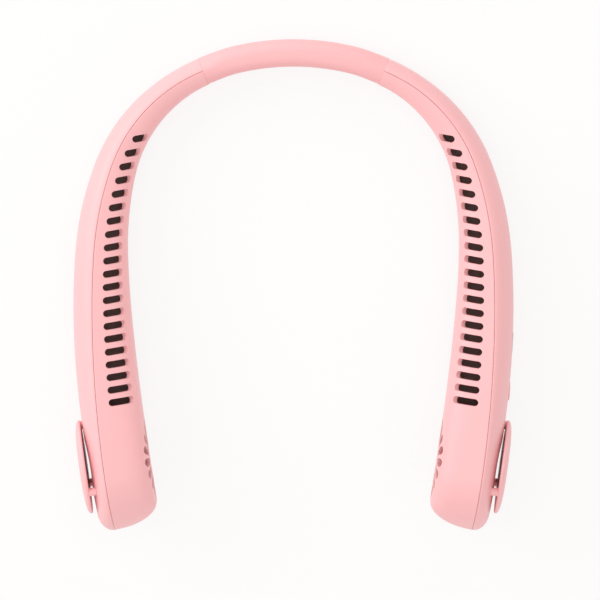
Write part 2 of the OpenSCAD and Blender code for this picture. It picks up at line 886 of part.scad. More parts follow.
module motor_leads() {
    rings = [
        for (q = lead_route_shares)
            let(
                s = q[0] * arm_len,
                u = q[1] * outer_w,
                top = roof_at(s, u - lead_r, wall) - lead_r - guide_gap,
                z = height_at(s) / 2 + q[2] * top
            )
            [
                for (j = [0:lead_sides - 1])
                    let(a = 360 * j / lead_sides)
                    at(s, u + lead_r * cos(a), z - lead_r * sin(a))
            ]
    ];
    caps = [for (j = [1:lead_sides - 2]) [0, j, j + 1]];
    color("#7a2b2b") skin(rings, caps);
}

// Controls in the right arm, all square to the board
board_t = 1;
board_h = 18;
board_len = 36;
board_s = light_s;
board_top = -1.6;
usb_w = 9;
usb_h = 3.2;
usb_wall = 0.3;
switch_w = 6;
switch_h = 2;
plunger_r = 1.6;
plunger_gap = 0.2;
light_r = 0.8;
light_count = 3;
light_pitch = 3.4;
light_bar = 1.6;
flange_w = 0.8;
flange_t = 0.5;
flange_gap = 0.6;
button_proud = 0.5;

module control_frame(s) {
    wall_frame(board_s) translate([0, s - board_s, 0]) children();
}

module light_places() {
    for (i = [0:light_count - 1]) translate([0, (i - (light_count - 1) / 2) * light_pitch, 0]) children();
}

module usb_outline(h, w) {
    hull() for (y = [-1, 1]) translate([0, y * (w - h) / 2]) circle(r = h / 2, $fn = 24);
}

module main_board() {
    color(board_green) control_frame(board_s) translate([-board_h / 2, -board_len / 2, board_top])
        cube([board_h, board_len, board_t]);
}

module usb_socket() {
    mouth = -width_at(usb_s, -1);
    depth = board_top - mouth;
    color(steel) control_frame(usb_s) translate([0, 0, mouth]) difference() {
        linear_extrude(depth) usb_outline(usb_h, usb_w);
        translate([0, 0, -over]) linear_extrude(depth)
            usb_outline(usb_h - 2 * usb_wall, usb_w - 2 * usb_wall);
    }
}

// Level of the button's flange on the side of the casing
flange_low = -half_w(button_s, -1, wall) + flange_gap;

// Switch on the board, with its plunger left free by the button's travel
module power_switch() {
    color(dark_abs) control_frame(button_s) {
        translate([-switch_w / 2, -switch_w / 2, board_top - switch_h])
            cube([switch_w, switch_w, switch_h]);
        rod(plunger_r, flange_low + flange_t + button_travel + plunger_gap, board_top - switch_h);
    }
}

module power_button() {
    color(pink) control_frame(button_s) {
        rod(button_r, -width_at(button_s, -1) - button_proud, flange_low + flange_t / 2);
        rod(button_r + flange_w, flange_low, flange_low + flange_t);
    }
}

// Three light windows on one bar
module light_lens() {
    low = -half_w(light_s, -1, wall) + flange_gap / 2;
    bar_len = (light_count - 1) * light_pitch + light_bar;
    color("#fff4ee") control_frame(light_s) {
        light_places() rod(light_r, -width_at(light_s, -1), low + light_bar / 2);
        translate([-light_bar / 2, -bar_len / 2, low]) cube([light_bar, bar_len, light_bar]);
    }
}

band_center();
band_flex_left();
band_flex_right();
band_spring();
band_cable();
mirrored_arm(true) outer_shell(false);  // left_outer_shell
mirrored_arm(true) inner_shell();  // left_inner_shell
mirrored_arm(true) outer_cap();  // left_outer_cap
mirrored_arm(true) cap_screws();  // left_cap_screws
mirrored_arm(true) shell_screw();  // left_shell_screw
mirrored_arm(true) band_plug();  // left_band_plug
mirrored_arm(true) intake_guard();  // left_intake_guard
mirrored_arm(true) fan_housing();  // left_fan_housing
mirrored_arm(true) fan_cover();  // left_fan_cover
mirrored_arm(true) housing_screws();  // left_housing_screws
mirrored_arm(true) motor_stator();  // left_motor_stator
mirrored_arm(true) motor_board();  // left_motor_board
mirrored_arm(true) shaft_bush();  // left_shaft_bush
mirrored_arm(true) rotor_cup();  // left_rotor_cup
mirrored_arm(true) rotor_magnet();  // left_rotor_magnet
mirrored_arm(true) motor_shaft();  // left_motor_shaft
mirrored_arm(true) impeller();  // left_impeller
mirrored_arm(true) air_guide();  // left_air_guide
mirrored_arm(true) battery();  // left_battery
mirrored_arm(true) motor_leads();  // left_motor_leads
mirrored_arm(false) outer_shell(true);  // right_outer_shell
mirrored_arm(false) inner_shell();  // right_inner_shell
mirrored_arm(false) outer_cap();  // right_outer_cap
mirrored_arm(false) cap_screws();  // right_cap_screws
mirrored_arm(false) shell_screw();  // right_shell_screw
mirrored_arm(false) band_plug();  // right_band_plug
mirrored_arm(false) intake_guard();  // right_intake_guard
mirrored_arm(false) fan_housing();  // right_fan_housing
mirrored_arm(false) fan_cover();  // right_fan_cover
mirrored_arm(false) housing_screws();  // right_housing_screws
mirrored_arm(false) motor_stator();  // right_motor_stator
mirrored_arm(false) motor_board();  // right_motor_board
mirrored_arm(false) shaft_bush();  // right_shaft_bush
mirrored_arm(false) rotor_cup();  // right_rotor_cup
mirrored_arm(false) rotor_magnet();  // right_rotor_magnet
mirrored_arm(false) motor_shaft();  // right_motor_shaft
mirrored_arm(false) impeller();  // right_impeller
mirrored_arm(false) air_guide();  // right_air_guide
mirrored_arm(false) battery();  // right_battery
mirrored_arm(false) motor_leads();  // right_motor_leads
main_board();
usb_socket();
power_switch();
power_button();
light_lens();
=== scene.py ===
import math

import bmesh
import bpy
import numpy as np
from mathutils import Matrix, Vector


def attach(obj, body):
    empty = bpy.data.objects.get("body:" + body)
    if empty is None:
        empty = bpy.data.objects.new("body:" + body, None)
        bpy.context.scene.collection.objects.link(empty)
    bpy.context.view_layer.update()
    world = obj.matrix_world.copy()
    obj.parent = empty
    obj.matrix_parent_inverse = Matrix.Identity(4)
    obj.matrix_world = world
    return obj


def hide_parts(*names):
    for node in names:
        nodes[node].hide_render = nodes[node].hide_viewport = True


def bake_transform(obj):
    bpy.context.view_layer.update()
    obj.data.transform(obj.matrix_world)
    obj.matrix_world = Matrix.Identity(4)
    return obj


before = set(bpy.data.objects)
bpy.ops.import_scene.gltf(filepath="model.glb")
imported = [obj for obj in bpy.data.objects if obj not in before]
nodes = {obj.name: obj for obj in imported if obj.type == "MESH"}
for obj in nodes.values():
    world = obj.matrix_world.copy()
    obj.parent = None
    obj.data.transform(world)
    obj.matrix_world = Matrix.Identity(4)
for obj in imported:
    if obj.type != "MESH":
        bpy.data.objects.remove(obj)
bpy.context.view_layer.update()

# Inner casing halves, on the neck's side of the seam. They are injection moulded in pale pink ABS
# with a fine satin grain. A ball-nosed tool leaves two rows of slots with round floors along their
# edges, and a ring of petal openings lets air in to the fan. Each closes the arm's nose with a
# wide round, and its lip along the seam is softened.

MM = 0.001
ARM_START = (39, 92.3806, math.radians(-21.5))  # place and heading where the seam meets the band
BENDS = ((68, 49.5), (140, 15.5), (360, 4.5), (515, 10.2))  # radius, and turn in degrees
ARM_LEN = sum(r * math.radians(turn) for r, turn in BENDS)
PLACES = np.array([0, 0.07, 0.14, 0.21, 0.28, 0.37, 0.46, 0.56, 0.65, 0.74, 0.84, 0.93, 1]) * ARM_LEN
HEIGHTS = 18 + 32 * np.array([0, 0.05, 0.11, 0.17, 0.25, 0.375, 0.5, 0.625, 0.75, 0.86, 0.95, 1, 1])
INNER, OUTER = 1, -1
WIDTHS = {
    INNER: 19.8 * np.array([0.35, 0.39, 0.445, 0.505, 0.57, 0.67, 0.75, 0.84, 0.91, 0.96, 1, 1, 1]),
    OUTER: 8.2 * np.array([0.58, 0.57, 0.64, 0.73, 0.83, 0.93, 0.98, 1, 0.99, 0.93, 0.83, 0.77, 0.75]),
}
# Exponents of the section's curve: the inner half grows squarer towards the fan.
ROUNDNESS = {
    INNER: np.array([2.6, 2.6, 2.7, 2.85, 3, 3.3, 3.6, 3.9, 4.2, 4.6, 5.2, 5.5, 5.5]),
    OUTER: np.full(13, 2.2),
}
SMOOTHING = 0.03 * ARM_LEN
RIDGE = 0.2  # fall of the section away from the seam
NOSE = {INNER: 10, OUTER: 8}  # stretch over which each half closes at the tip
NOSE_H = 25
WALL = 1.8
SEAM_GAP = 0.1
LIP_R = 0.3
FAN_S = ARM_LEN - 28.6


def seam(s):
    """Place and heading of the seam at distance s from the band."""
    x, y, h = ARM_START
    for r, turn in BENDS:
        a = min(s / r, math.radians(turn))
        x, y = x + r * (math.sin(h) - math.sin(h - a)), y - r * (math.cos(h) - math.cos(h - a))
        h, s = h - a, s - a * r
    return x, y, h


def along(table, s):
    """Smoothed value of a table at distance s."""
    return float(np.mean(np.interp((s - SMOOTHING, s, s, s + SMOOTHING), PLACES, table)))


def closing(s, end, stretch):
    """Share left of a size that closes in a quarter round over the last stretch before end."""
    return math.sqrt(max(0, 1 - (max(0, s - end + stretch) / stretch) ** 2))


def half_width(s, side, inset=0):
    return (along(WIDTHS[side], s) - inset) * closing(s, ARM_LEN - inset, NOSE[side] - inset)


def half_height(s, inset=0):
    return (along(HEIGHTS, s) / 2 - inset) * closing(s, ARM_LEN - inset, NOSE_H - inset)


def roof(s, side, u):
    """Height of a casing half's lining above mid height, u from the seam."""
    share = (u / half_width(s, side, WALL)) ** along(ROUNDNESS[side], s)
    return (half_height(s, WALL) - RIDGE * u) * (1 - share) ** (1 / along(ROUNDNESS[side], s))


def at(s, u, z):
    """Points u inward of the seam at distance s, and z above mid height, in metres."""
    x, y, h = seam(s)
    mid = along(HEIGHTS, s) / 2
    return level_ring(x + u * math.sin(h), y - u * math.cos(h), z + mid)


def section(s, side, inset, lip, count):
    """The section's curve from the crest to the underside at even steps, its ends rounded by lip."""
    width, n = max(half_width(s, side, inset), 1e-6), along(ROUNDNESS[side], s)
    lip = min(lip, 0.3 * width)
    phi = np.linspace(math.asin((lip / width) ** (n / 2)), math.pi / 2, 300)
    u = width * np.sin(phi) ** (2 / n)
    z = (half_height(s, inset) - RIDGE * u) * np.abs(np.cos(phi)) ** (2 / n)
    length = np.concatenate([[0], np.cumsum(np.hypot(np.diff(u), np.diff(z)))])
    places = np.linspace(0, length[-1], count)
    u, z = np.interp(places, length, u), np.interp(places, length, z)
    a = np.linspace(0, math.pi / 2, 6)[:-1]
    u = np.concatenate([lip * (1 - np.cos(a)), u])
    z = np.concatenate([z[0] - lip * (1 - np.sin(a)), z])
    return np.concatenate([u, u[-2::-1]]), np.concatenate([z, -z[-2::-1]])


def closed(mesh):
    """Merges doubled points, fills open ends and turns the faces outwards."""
    bm = bmesh.new()
    bm.from_mesh(mesh)
    bmesh.ops.remove_doubles(bm, verts=bm.verts, dist=1e-7)
    bmesh.ops.holes_fill(bm, edges=[e for e in bm.edges if e.is_boundary], sides=0)
    bmesh.ops.recalc_face_normals(bm, faces=bm.faces)
    bm.to_mesh(mesh)
    bm.free()
    return mesh


def level_ring(x, y, z):
    """Points given in millimetres, in metres. A number stands for the same place at each point."""
    return np.stack(np.broadcast_arrays(x, y, z), axis=-1) * MM


def circle(count):
    """Angles of that many points round a circle."""
    return np.linspace(0, math.tau, count + 1)[:-1]


def loft(rings):
    """A closed mesh through rings of points."""
    rings = np.array(rings)
    n, k = rings.shape[:2]
    start = np.arange(n - 1)[:, None] * k
    j = np.arange(k)[None, :]
    after = (j + 1) % k
    faces = np.stack([start + j, start + after, start + k + after, start + k + j], axis=-1)
    mesh = bpy.data.meshes.new("loft")
    mesh.from_pydata(rings.reshape(-1, 3).tolist(), [], faces.reshape(-1, 4).tolist())
    return closed(mesh)


def shaded(obj, angle=32):
    """Smooth shading, with the edges sharper than that angle kept crisp."""
    obj.data.shade_smooth()
    obj.data.set_sharp_from_angle(angle=math.radians(angle))
    return obj


def in_scene(name, data):
    """A new object in the scene."""
    obj = bpy.data.objects.new(name, data)
    bpy.context.scene.collection.objects.link(obj)
    return obj


def piece(name, mesh, material):
    """An object of that mesh and material."""
    mesh.name = name
    mesh.materials.clear()
    mesh.materials.append(material)
    return shaded(in_scene(name, mesh))


def applied(obj):
    """Makes the object's modifiers part of its mesh."""
    graph = bpy.context.evaluated_depsgraph_get()
    mesh = bpy.data.meshes.new_from_object(obj.evaluated_get(graph), depsgraph=graph)
    obj.modifiers.clear()
    mesh.name = obj.name
    obj.data = mesh
    return shaded(obj)


def cut(obj, tool, operation="DIFFERENCE"):
    """Cuts obj with the tool, or joins them, and takes the tool away."""
    step = obj.modifiers.new("cut", "BOOLEAN")
    step.operation, step.object, step.solver = operation, tool, "MANIFOLD"
    applied(obj)
    bpy.data.objects.remove(tool)
    return obj


def joined(*pieces):
    """The pieces as one, under the first one's name."""
    with bpy.context.temp_override(active_object=pieces[0], selected_editable_objects=list(pieces)):
        bpy.ops.object.join()
    return shaded(pieces[0])


def linear(hex_colour):
    """Scene colour of an sRGB hex value."""
    channels = [int(hex_colour[i : i + 2], 16) / 255 for i in (1, 3, 5)]
    return [c / 12.92 if c <= 0.04045 else ((c + 0.055) / 1.055) ** 2.4 for c in channels] + [1]


def add(tree, kind, *inputs, **settings):
    """Adds a node with its settings, and gives its outputs. Each input is a socket or a value: they
    come in the order of the node's own, or by name in a dict."""
    made = tree.nodes.new(kind)
    for key, value in settings.items():
        setattr(made, key, value)
    by_name = inputs[0] if inputs and isinstance(inputs[0], dict) else dict(enumerate(inputs))
    for key, value in by_name.items():
        if isinstance(value, bpy.types.NodeSocket):
            tree.links.new(value, made.inputs[key])
        else:
            made.inputs[key].default_value = value
    return made.outputs


def new_material(name):
    """An empty material, its tree, and the place of each point on its pieces."""
    material = bpy.data.materials.new(name)
    material.use_nodes = True
    material.node_tree.nodes.clear()
    return material, material.node_tree, add(material.node_tree, "ShaderNodeTexCoord")["Object"]


def finished(tree, tone, relief, depth_mm, strength, sheen, low, high, **shader):
    """A material's last steps: its relief as bump, and its roughness between two levels."""
    bump = {"Height": relief, "Distance": depth_mm * MM, "Strength": strength}
    bump = add(tree, "ShaderNodeBump", bump)["Normal"]
    gloss = add(tree, "ShaderNodeMapRange", {"Value": sheen, "To Min": low, "To Max": high})["Result"]
    surface = {"Base Color": tone, "Roughness": gloss, "Normal": bump, **shader}
    surface = add(tree, "ShaderNodeBsdfPrincipled", surface)["BSDF"]
    add(tree, "ShaderNodeOutputMaterial", surface)


def moulded(name, colour, roughness, grain_mm, depth_mm, shade=0.03, **shader):
    """A moulded plastic or rubber: one colour with a faint, broad flow mottle, and the grain of the
    spark-eroded mould as fine bump and a small change of gloss."""
    material, tree, place = new_material(name)
    grain = {"Vector": place, "Scale": 1 / (grain_mm * MM), "Detail": 2}
    grain = add(tree, "ShaderNodeTexNoise", grain)["Fac"]
    flow = {"Vector": place, "Scale": 1 / (18 * MM), "Detail": 3}
    flow = add(tree, "ShaderNodeTexNoise", flow)["Fac"]
    deeper = [c * (1 - shade) for c in linear(colour)[:3]] + [1]
    tone = {"Factor": flow, 6: linear(colour), 7: deeper}
    tone = add(tree, "ShaderNodeMix", tone, data_type="RGBA")[2]
    finished(tree, tone, grain, depth_mm, 0.35, grain, roughness - 0.03, roughness + 0.05, **shader)
    return material


# Pale pink ABS from a fine spark-eroded mould: an even satin skin with a soft, broad highlight.
pink_abs = moulded("pink_abs_satin_moulded", "#f9bcbe", 0.42, 0.35, 0.02, IOR=1.53)


def ring_places(inset, body=196, nose=40):
    """Distances of the loft's rings: even along the body, and closing up towards the nose."""
    rounds = np.sin(np.linspace(0, math.pi / 2, nose + 1)[1:])
    return np.concatenate([
        np.linspace(0, ARM_LEN - NOSE_H, body), ARM_LEN - NOSE_H + (NOSE_H - inset) * rounds
    ])


def casing(name, side):
    """One half of the casing as a closed wall, its edges rounded at the seam and at the band."""
    edge_r = 0.08
    outer, inner = ring_places(0), ring_places(WALL)
    arc = np.linspace(0, 1.4, 5)
    rings = [(edge_r * (1 - math.cos(a)), edge_r * (1 - math.sin(a)), inner[0]) for a in arc]
    rings += [(s, 0, t) for s, t in zip(outer[1:], inner[1:])]
    skins = []
    for s, inset, t in rings:
        u, z = section(s, side, inset, LIP_R, 56)
        v, w = section(t, side, WALL, 0, 48)
        skin = at(s, side * (u + SEAM_GAP / 2), z)
        lining = at(t, side * (v + SEAM_GAP / 2), w)[::-1]
        skins.append(np.concatenate([skin, lining]))
    return piece(name, loft(skins), pink_abs)


def new_tree(name, inputs):
    """Geometry nodes with named inputs that take and give a geometry."""
    tree = bpy.data.node_groups.new(name, "GeometryNodeTree")
    for label, kind in (("Geometry", "Geometry"), *inputs, ("Material", "Material")):
        tree.interface.new_socket(label, in_out="INPUT", socket_type="NodeSocket" + kind)
    tree.interface.new_socket("Geometry", in_out="OUTPUT", socket_type="NodeSocketGeometry")
    return tree, add(tree, "NodeGroupInput")


def ends_as_mesh(tree, geometry, material):
    """The tree's last steps: copies made real, and their material. Gives the tree back."""
    real = add(tree, "GeometryNodeRealizeInstances", {"Geometry": geometry})[0]
    done = add(tree, "GeometryNodeSetMaterial", {"Geometry": real, "Material": material})[0]
    add(tree, "NodeGroupOutput", done)
    return tree


def grown(name, base, tree, values):
    """The mesh that the tree makes from the base mesh, as a plain object. The base takes the material
    too, because copies of a mesh without one start with an empty one."""
    base.materials.append(values["Material"])
    obj = in_scene(name, base)
    step = obj.modifiers.new("grow", "NODES")
    step.node_group = tree
    for item in tree.interface.items_tree:
        if item.name in values:
            step[item.identifier] = values[item.name]
    return applied(obj)


# Geometry nodes that repeat the base mesh round the z axis.
tree, given = new_tree("ring_of", (("Count", "Int"), ("Start", "Float")))
math_node, vector_node = "ShaderNodeMath", "ShaderNodeVectorMath"
points = add(tree, "GeometryNodePoints", {"Count": given["Count"]})[0]
index = add(tree, "GeometryNodeInputIndex")[0]
share = add(tree, math_node, index, given["Count"], operation="DIVIDE")[0]
turn = add(tree, math_node, share, math.tau, given["Start"], operation="MULTIPLY_ADD")[0]
turn = add(tree, "ShaderNodeCombineXYZ", {"Z": turn})[0]
turn = add(tree, "FunctionNodeEulerToRotation", {"Euler": turn})[0]
copies = {"Points": points, "Instance": given["Geometry"], "Rotation": turn}
copies = add(tree, "GeometryNodeInstanceOnPoints", copies)[0]
ring_of = ends_as_mesh(tree, copies, given["Material"])

# Geometry nodes that set a tool at each slot of both rows. The base mesh is the seam as a line, with
# the arm's inner width and height at each point. All tools point the way the mould opens, and the
# second row's are turned upside down.
labels = ("First", "Last", "Spread", "In Share", "Radius", "Depth Share", "Depth", "Turn")
floats = [(label, "Float") for label in labels]
tree, given = new_tree("slot_rows", [("Tool", "Object"), ("Count", "Int"), *floats])
line = add(tree, "GeometryNodeMeshToCurve", {"Mesh": given["Geometry"]})[0]
both = add(tree, math_node, given["Count"], 2, operation="MULTIPLY")[0]
points = add(tree, "GeometryNodePoints", {"Count": both})[0]
index = add(tree, "GeometryNodeInputIndex")[0]
under = add(tree, math_node, index, given["Count"], operation="DIVIDE")[0]
under = add(tree, math_node, under, operation="FLOOR")[0]
place = add(tree, math_node, index, given["Count"], operation="MODULO")[0]
last = add(tree, math_node, given["Count"], 1, operation="SUBTRACT")[0]
place = add(tree, math_node, place, last, operation="DIVIDE")[0]
place = add(tree, math_node, place, given["Spread"], operation="POWER")[0]
reach = add(tree, math_node, given["Last"], given["First"], operation="SUBTRACT")[0]
place = add(tree, math_node, place, reach, given["First"], operation="MULTIPLY_ADD")[0]
found = {}
for label in ("inner_width", "arm_height"):
    value = add(tree, "GeometryNodeInputNamedAttribute", {"Name": label}, data_type="FLOAT")[0]
    sample = {"Curves": line, "Length": place, "Value": value}
    found[label] = add(tree, "GeometryNodeSampleCurve", sample, mode="LENGTH")
wide, spot = found["inner_width"]["Value"], found["arm_height"]["Position"]
tangent, tall = found["arm_height"]["Tangent"], found["arm_height"]["Value"]
inward = add(tree, vector_node, tangent, Vector((0, 0, 1)), operation="CROSS_PRODUCT")["Vector"]
start = add(tree, math_node, wide, given["In Share"], given["Radius"], operation="MULTIPLY_ADD")[0]
centre = add(tree, vector_node, inward, start, spot, operation="MULTIPLY_ADD")["Vector"]
low = add(tree, math_node, tall, given["Depth Share"], given["Depth"], operation="MULTIPLY_ADD")[0]
low = add(tree, math_node, low, given["Radius"], operation="SUBTRACT")[0]
high = add(tree, math_node, tall, low, operation="SUBTRACT")[0]
level = add(tree, "ShaderNodeMix", {0: under, 2: high, 3: low}, data_type="FLOAT")[0]
level = add(tree, "ShaderNodeCombineXYZ", {"Z": level})[0]
centre = add(tree, vector_node, centre, level, operation="ADD")["Vector"]
points = add(tree, "GeometryNodeSetPosition", {"Geometry": points, "Position": centre})[0]
flip = add(tree, math_node, under, math.pi, operation="MULTIPLY")[0]
facing = add(tree, "ShaderNodeCombineXYZ", {"X": flip, "Z": given["Turn"]})[0]
facing = add(tree, "FunctionNodeEulerToRotation", {"Euler": facing})[0]
tool = add(tree, "GeometryNodeObjectInfo", {"Object": given["Tool"]})["Geometry"]
copies = {"Points": points, "Instance": tool, "Rotation": facing}
copies = add(tree, "GeometryNodeInstanceOnPoints", copies)[0]
slot_rows = ends_as_mesh(tree, copies, given["Material"])

steps = np.linspace(0, ARM_LEN, 434)
seam_line = bpy.data.meshes.new("seam_line")
points = [(*(MM * c for c in seam(s)[:2]), 0) for s in steps]
seam_line.from_pydata(points, [(i, i + 1) for i in range(len(points) - 1)], [])
for label, table in (("inner_width", WIDTHS[INNER]), ("arm_height", HEIGHTS)):
    values = [along(table, s) * MM for s in steps]
    seam_line.attributes.new(label, "FLOAT", "POINT").data.foreach_set("value", values)

# A slot's tool is a ball stretched inwards past the wall, rising as it goes, and upwards past the
# roof. A slot's depth grows with the arm's height.
SLOT_R, SLOT_REACH, SLOT_RISE, SLOT_UP = 1.55, 25, 14, 12
ball = bmesh.new()
bmesh.ops.create_uvsphere(ball, u_segments=24, v_segments=16, radius=SLOT_R * MM)
for vert in ball.verts:
    inward, upper = vert.co.x > 1e-6, vert.co.z > 1e-6
    vert.co += Vector((SLOT_REACH * MM * inward, 0, SLOT_RISE * MM * inward + SLOT_UP * MM * upper))
ball_mesh = bpy.data.meshes.new("slot_tool")
ball.to_mesh(ball_mesh)
ball.free()
slot_tool = piece("slot_tool", ball_mesh, pink_abs)
slots = {"Tool": slot_tool, "Count": 21, "First": 42.5 * MM, "Last": (FAN_S - 28.7) * MM, "Spread": 0.92}
slots.update({"In Share": 0.28, "Radius": SLOT_R * MM, "Depth Share": 0.14, "Depth": 4.8 * MM})
slots.update({"Turn": seam(FAN_S)[2] - math.pi / 2 + math.radians(1), "Material": pink_abs})
slot_tools = grown("slot_tools", seam_line, slot_rows, slots)
bpy.data.objects.remove(slot_tool)


def wall_frame(s):
    """Frame at distance s with its z axis inward, square to the seam, at mid height."""
    x, y, heading = seam(s)
    place = Matrix.Translation((x * MM, y * MM, along(HEIGHTS, s) / 2 * MM))
    return place @ Matrix.Rotation(heading - math.pi / 2, 4, "Z") @ Matrix.Rotation(math.pi / 2, 4, "Y")


fan_frame = wall_frame(FAN_S)


def ring(name, base, material, count=1, start_deg=0):
    """The base mesh repeated round the fan's axis, set in its place in the right arm."""
    values = {"Count": count, "Start": math.radians(start_deg), "Material": material}
    obj = grown(name, base, ring_of, values)
    obj.data.transform(fan_frame)
    return obj


def carve(obj, mesh, count=1, start_deg=0, operation="DIFFERENCE"):
    """Cuts a mesh, repeated round the fan's axis, out of a piece."""
    return cut(obj, ring("tool", mesh, obj.data.materials[0], count, start_deg), operation)


def fuse(obj, mesh, count=1, start_deg=0):
    """Joins a mesh, repeated round the fan's axis, to a piece."""
    return carve(obj, mesh, count, start_deg, "UNION")


def prism(outline, low, high):
    """A flat outline carried from one level to another."""
    return loft([level_ring(*np.transpose(outline), z) for z in (low, high)])


PETALS, PETAL_ROOT_R, PETAL_END_R = 18, 7, 17.6
PETAL_SHARE = 0.62  # of the way round that the openings take
petal_end_w = PETAL_SHARE * math.pi * PETAL_END_R / PETALS
petal_root_w = PETAL_SHARE * math.pi * PETAL_ROOT_R / PETALS
arc = np.linspace(-math.pi / 2, math.pi / 2, 15)
outline = [(PETAL_END_R + petal_end_w * (math.cos(a) - 1), petal_end_w * math.sin(a)) for a in arc]
outline += [(PETAL_ROOT_R, petal_root_w), (PETAL_ROOT_R, -petal_root_w)]
inner_wall = half_width(FAN_S, INNER)
petal = prism(outline, inner_wall - 12, inner_wall + 1)

inner_casing = casing("right_inner_casing", INNER)
cut(inner_casing, slot_tools)
carve(inner_casing, petal, PETALS)


def mirrored(obj, name):
    """A copy of a right-hand piece for the left arm."""
    mesh = obj.data.copy()
    mesh.transform(Matrix.Scale(-1, 4, (1, 0, 0)))
    mesh.flip_normals()
    mesh.name = name
    return shaded(in_scene(name, mesh))


def put(obj, slot, body, *stands_for):
    """The piece rides on the body in place of those nodes."""
    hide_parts(*stands_for)
    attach(obj, body)


def put_pair(right, node, slot, body="arm"):
    """Puts a right-hand piece and its mirrored copy in the place of each side's node."""
    left = mirrored(right, right.name.replace("right", "left"))
    put(right, slot, "right_" + body, "right_" + node)
    put(left, slot, "left_" + body, "left_" + node)


put_pair(inner_casing, "inner_shell", "pink_abs")

# Outer casing halves, moulded in the same pink ABS. Each has the round intake under the cap, bosses
# that the housing is screwed to, seats for the cap's posts and a boss for the screw that holds the
# casing together. The right half also has the openings for the button, charge lights and socket.

INTAKE_R = 13
CAP_POST_R, CAP_POST_RING_R, CAP_SEAT_R = 1.8, 18.2, 3
BOSS_R, BOSS_RING_R, BOSS_RISE = 1.6, 14.8, 1.85
SCREW_R, NOSE_SCREW_R, NOSE_BOSS_R, NOSE_RECESS_R = 0.8, 19.5, 2, 1.4
FIT = 0.1
PAST = 1  # reach of a tool past what it cuts
skin_out = -half_width(FAN_S, OUTER)
boss_top = skin_out + WALL + BOSS_RISE


def turned(profile, sides=96):
    """A closed profile of radius and level turned round the z axis."""
    r, z = np.array(profile).T * MM
    turns = np.linspace(0, math.tau, sides + 1)
    return loft([np.stack([r * math.cos(a), r * math.sin(a), z], axis=-1) for a in turns])


def rod(r, low, high, bevel=0, x=0, sides=48):
    """A rod along the z axis at distance x from it, with its ends' edges rounded."""
    arc = np.linspace(0, math.pi / 2, 5) if bevel else [0]
    corner = [(r - bevel * (1 - math.sin(a)), bevel * (1 - math.cos(a))) for a in arc]
    profile = [(0, low)] + [(p, low + q) for p, q in corner]
    profile += [(p, high - q) for p, q in corner[::-1]] + [(0, high)]
    mesh = turned(profile, sides)
    mesh.transform(Matrix.Translation((x * MM, 0, 0)))
    return mesh


outer_casing = casing("right_outer_casing", OUTER)
rings = []
for s in ring_places(WALL / 2, 120, 30):
    u, z = section(s, OUTER, WALL / 2, 0, 40)
    rings.append(at(s, -(u + SEAM_GAP / 2), z))
core = piece("core", loft(rings), pink_abs)
top, low = boss_top + PAST, skin_out - PAST
bosses = ring("bosses", rod(BOSS_R, low, boss_top, x=BOSS_RING_R), pink_abs, 3, 90)
fuse(bosses, rod(CAP_SEAT_R, low, boss_top - FIT, x=CAP_POST_RING_R), 3, -90)
fuse(bosses, rod(NOSE_BOSS_R, low, WALL / 2, x=NOSE_SCREW_R), 1, 90)
cut(bosses, core, "INTERSECT")
cut(outer_casing, bosses, "UNION")
carve(outer_casing, rod(INTAKE_R, low, boss_top, sides=128))
carve(outer_casing, rod(CAP_POST_R + FIT, low, top, x=CAP_POST_RING_R), 3, -90)
carve(outer_casing, rod(SCREW_R - FIT, skin_out + 0.6 * WALL, top, x=BOSS_RING_R), 3, 90)
nose_seat = WALL / 2 - half_width(FAN_S + NOSE_SCREW_R, OUTER, WALL)
carve(outer_casing, rod(SCREW_R + FIT, low, 1, x=NOSE_SCREW_R), 1, 90)
carve(outer_casing, rod(NOSE_RECESS_R, low, nose_seat, x=NOSE_SCREW_R), 1, 90)
left_outer_casing = mirrored(outer_casing, "left_outer_casing")

BOARD_S = FAN_S - 42
BUTTON_S, BUTTON_R = FAN_S - 32, 4
LIGHT_S, LIGHT_R, LIGHT_PITCH = BOARD_S, 0.8, 3.4
SOCKET_S, SOCKET_W, SOCKET_H = FAN_S - 53, 9, 3.2
board_frame = wall_frame(BOARD_S)


def on_board(name, mesh, s, material, across=0):
    """A piece set square to the board, at distance s along the arm."""
    mesh.transform(board_frame @ Matrix.Translation((across * MM, (s - BOARD_S) * MM, 0)))
    return piece(name, mesh, material)


def pill(length, h, levels):
    """A bar with round ends lying along y, through levels given as height and inset."""
    turns = circle(48)
    ends = np.where(turns < math.pi, 1, -1) * (length - h) / 2
    rings = []
    for z, inset in levels:
        r = h / 2 - inset
        rings.append(level_ring(r * np.cos(turns), r * np.sin(turns) + ends, z))
    return loft(rings)


OUT = -10  # level clear of the casing on its outer side
hole = rod(BUTTON_R + FIT, OUT, 0, sides=96)
cut(outer_casing, on_board("button_hole", hole, BUTTON_S, pink_abs))
for i in (-1, 0, 1):
    hole = rod(LIGHT_R + FIT, OUT, 0)
    cut(outer_casing, on_board("light_hole", hole, LIGHT_S + i * LIGHT_PITCH, pink_abs))
hole = pill(SOCKET_W + 2 * FIT, SOCKET_H + 2 * FIT, ((OUT, 0), (-1, 0)))
cut(outer_casing, on_board("socket_hole", hole, SOCKET_S, pink_abs))
put(outer_casing, "pink_abs", "right_arm", "right_outer_shell")
put(left_outer_casing, "pink_abs", "left_arm", "left_outer_shell")

# Intake guards. Three rings, a middle disc and six spokes of dark ABS, all in one moulding that snaps
# into the intake. Every bar is rounded, as it is on such grilles, so that air slips past it.

# Dark brown-black ABS, moulded matt: it stays quiet behind the openings.
dark_abs = moulded("dark_abs_matt_moulded", "#7c6058", 0.5, 0.4, 0.02, IOR=1.53)


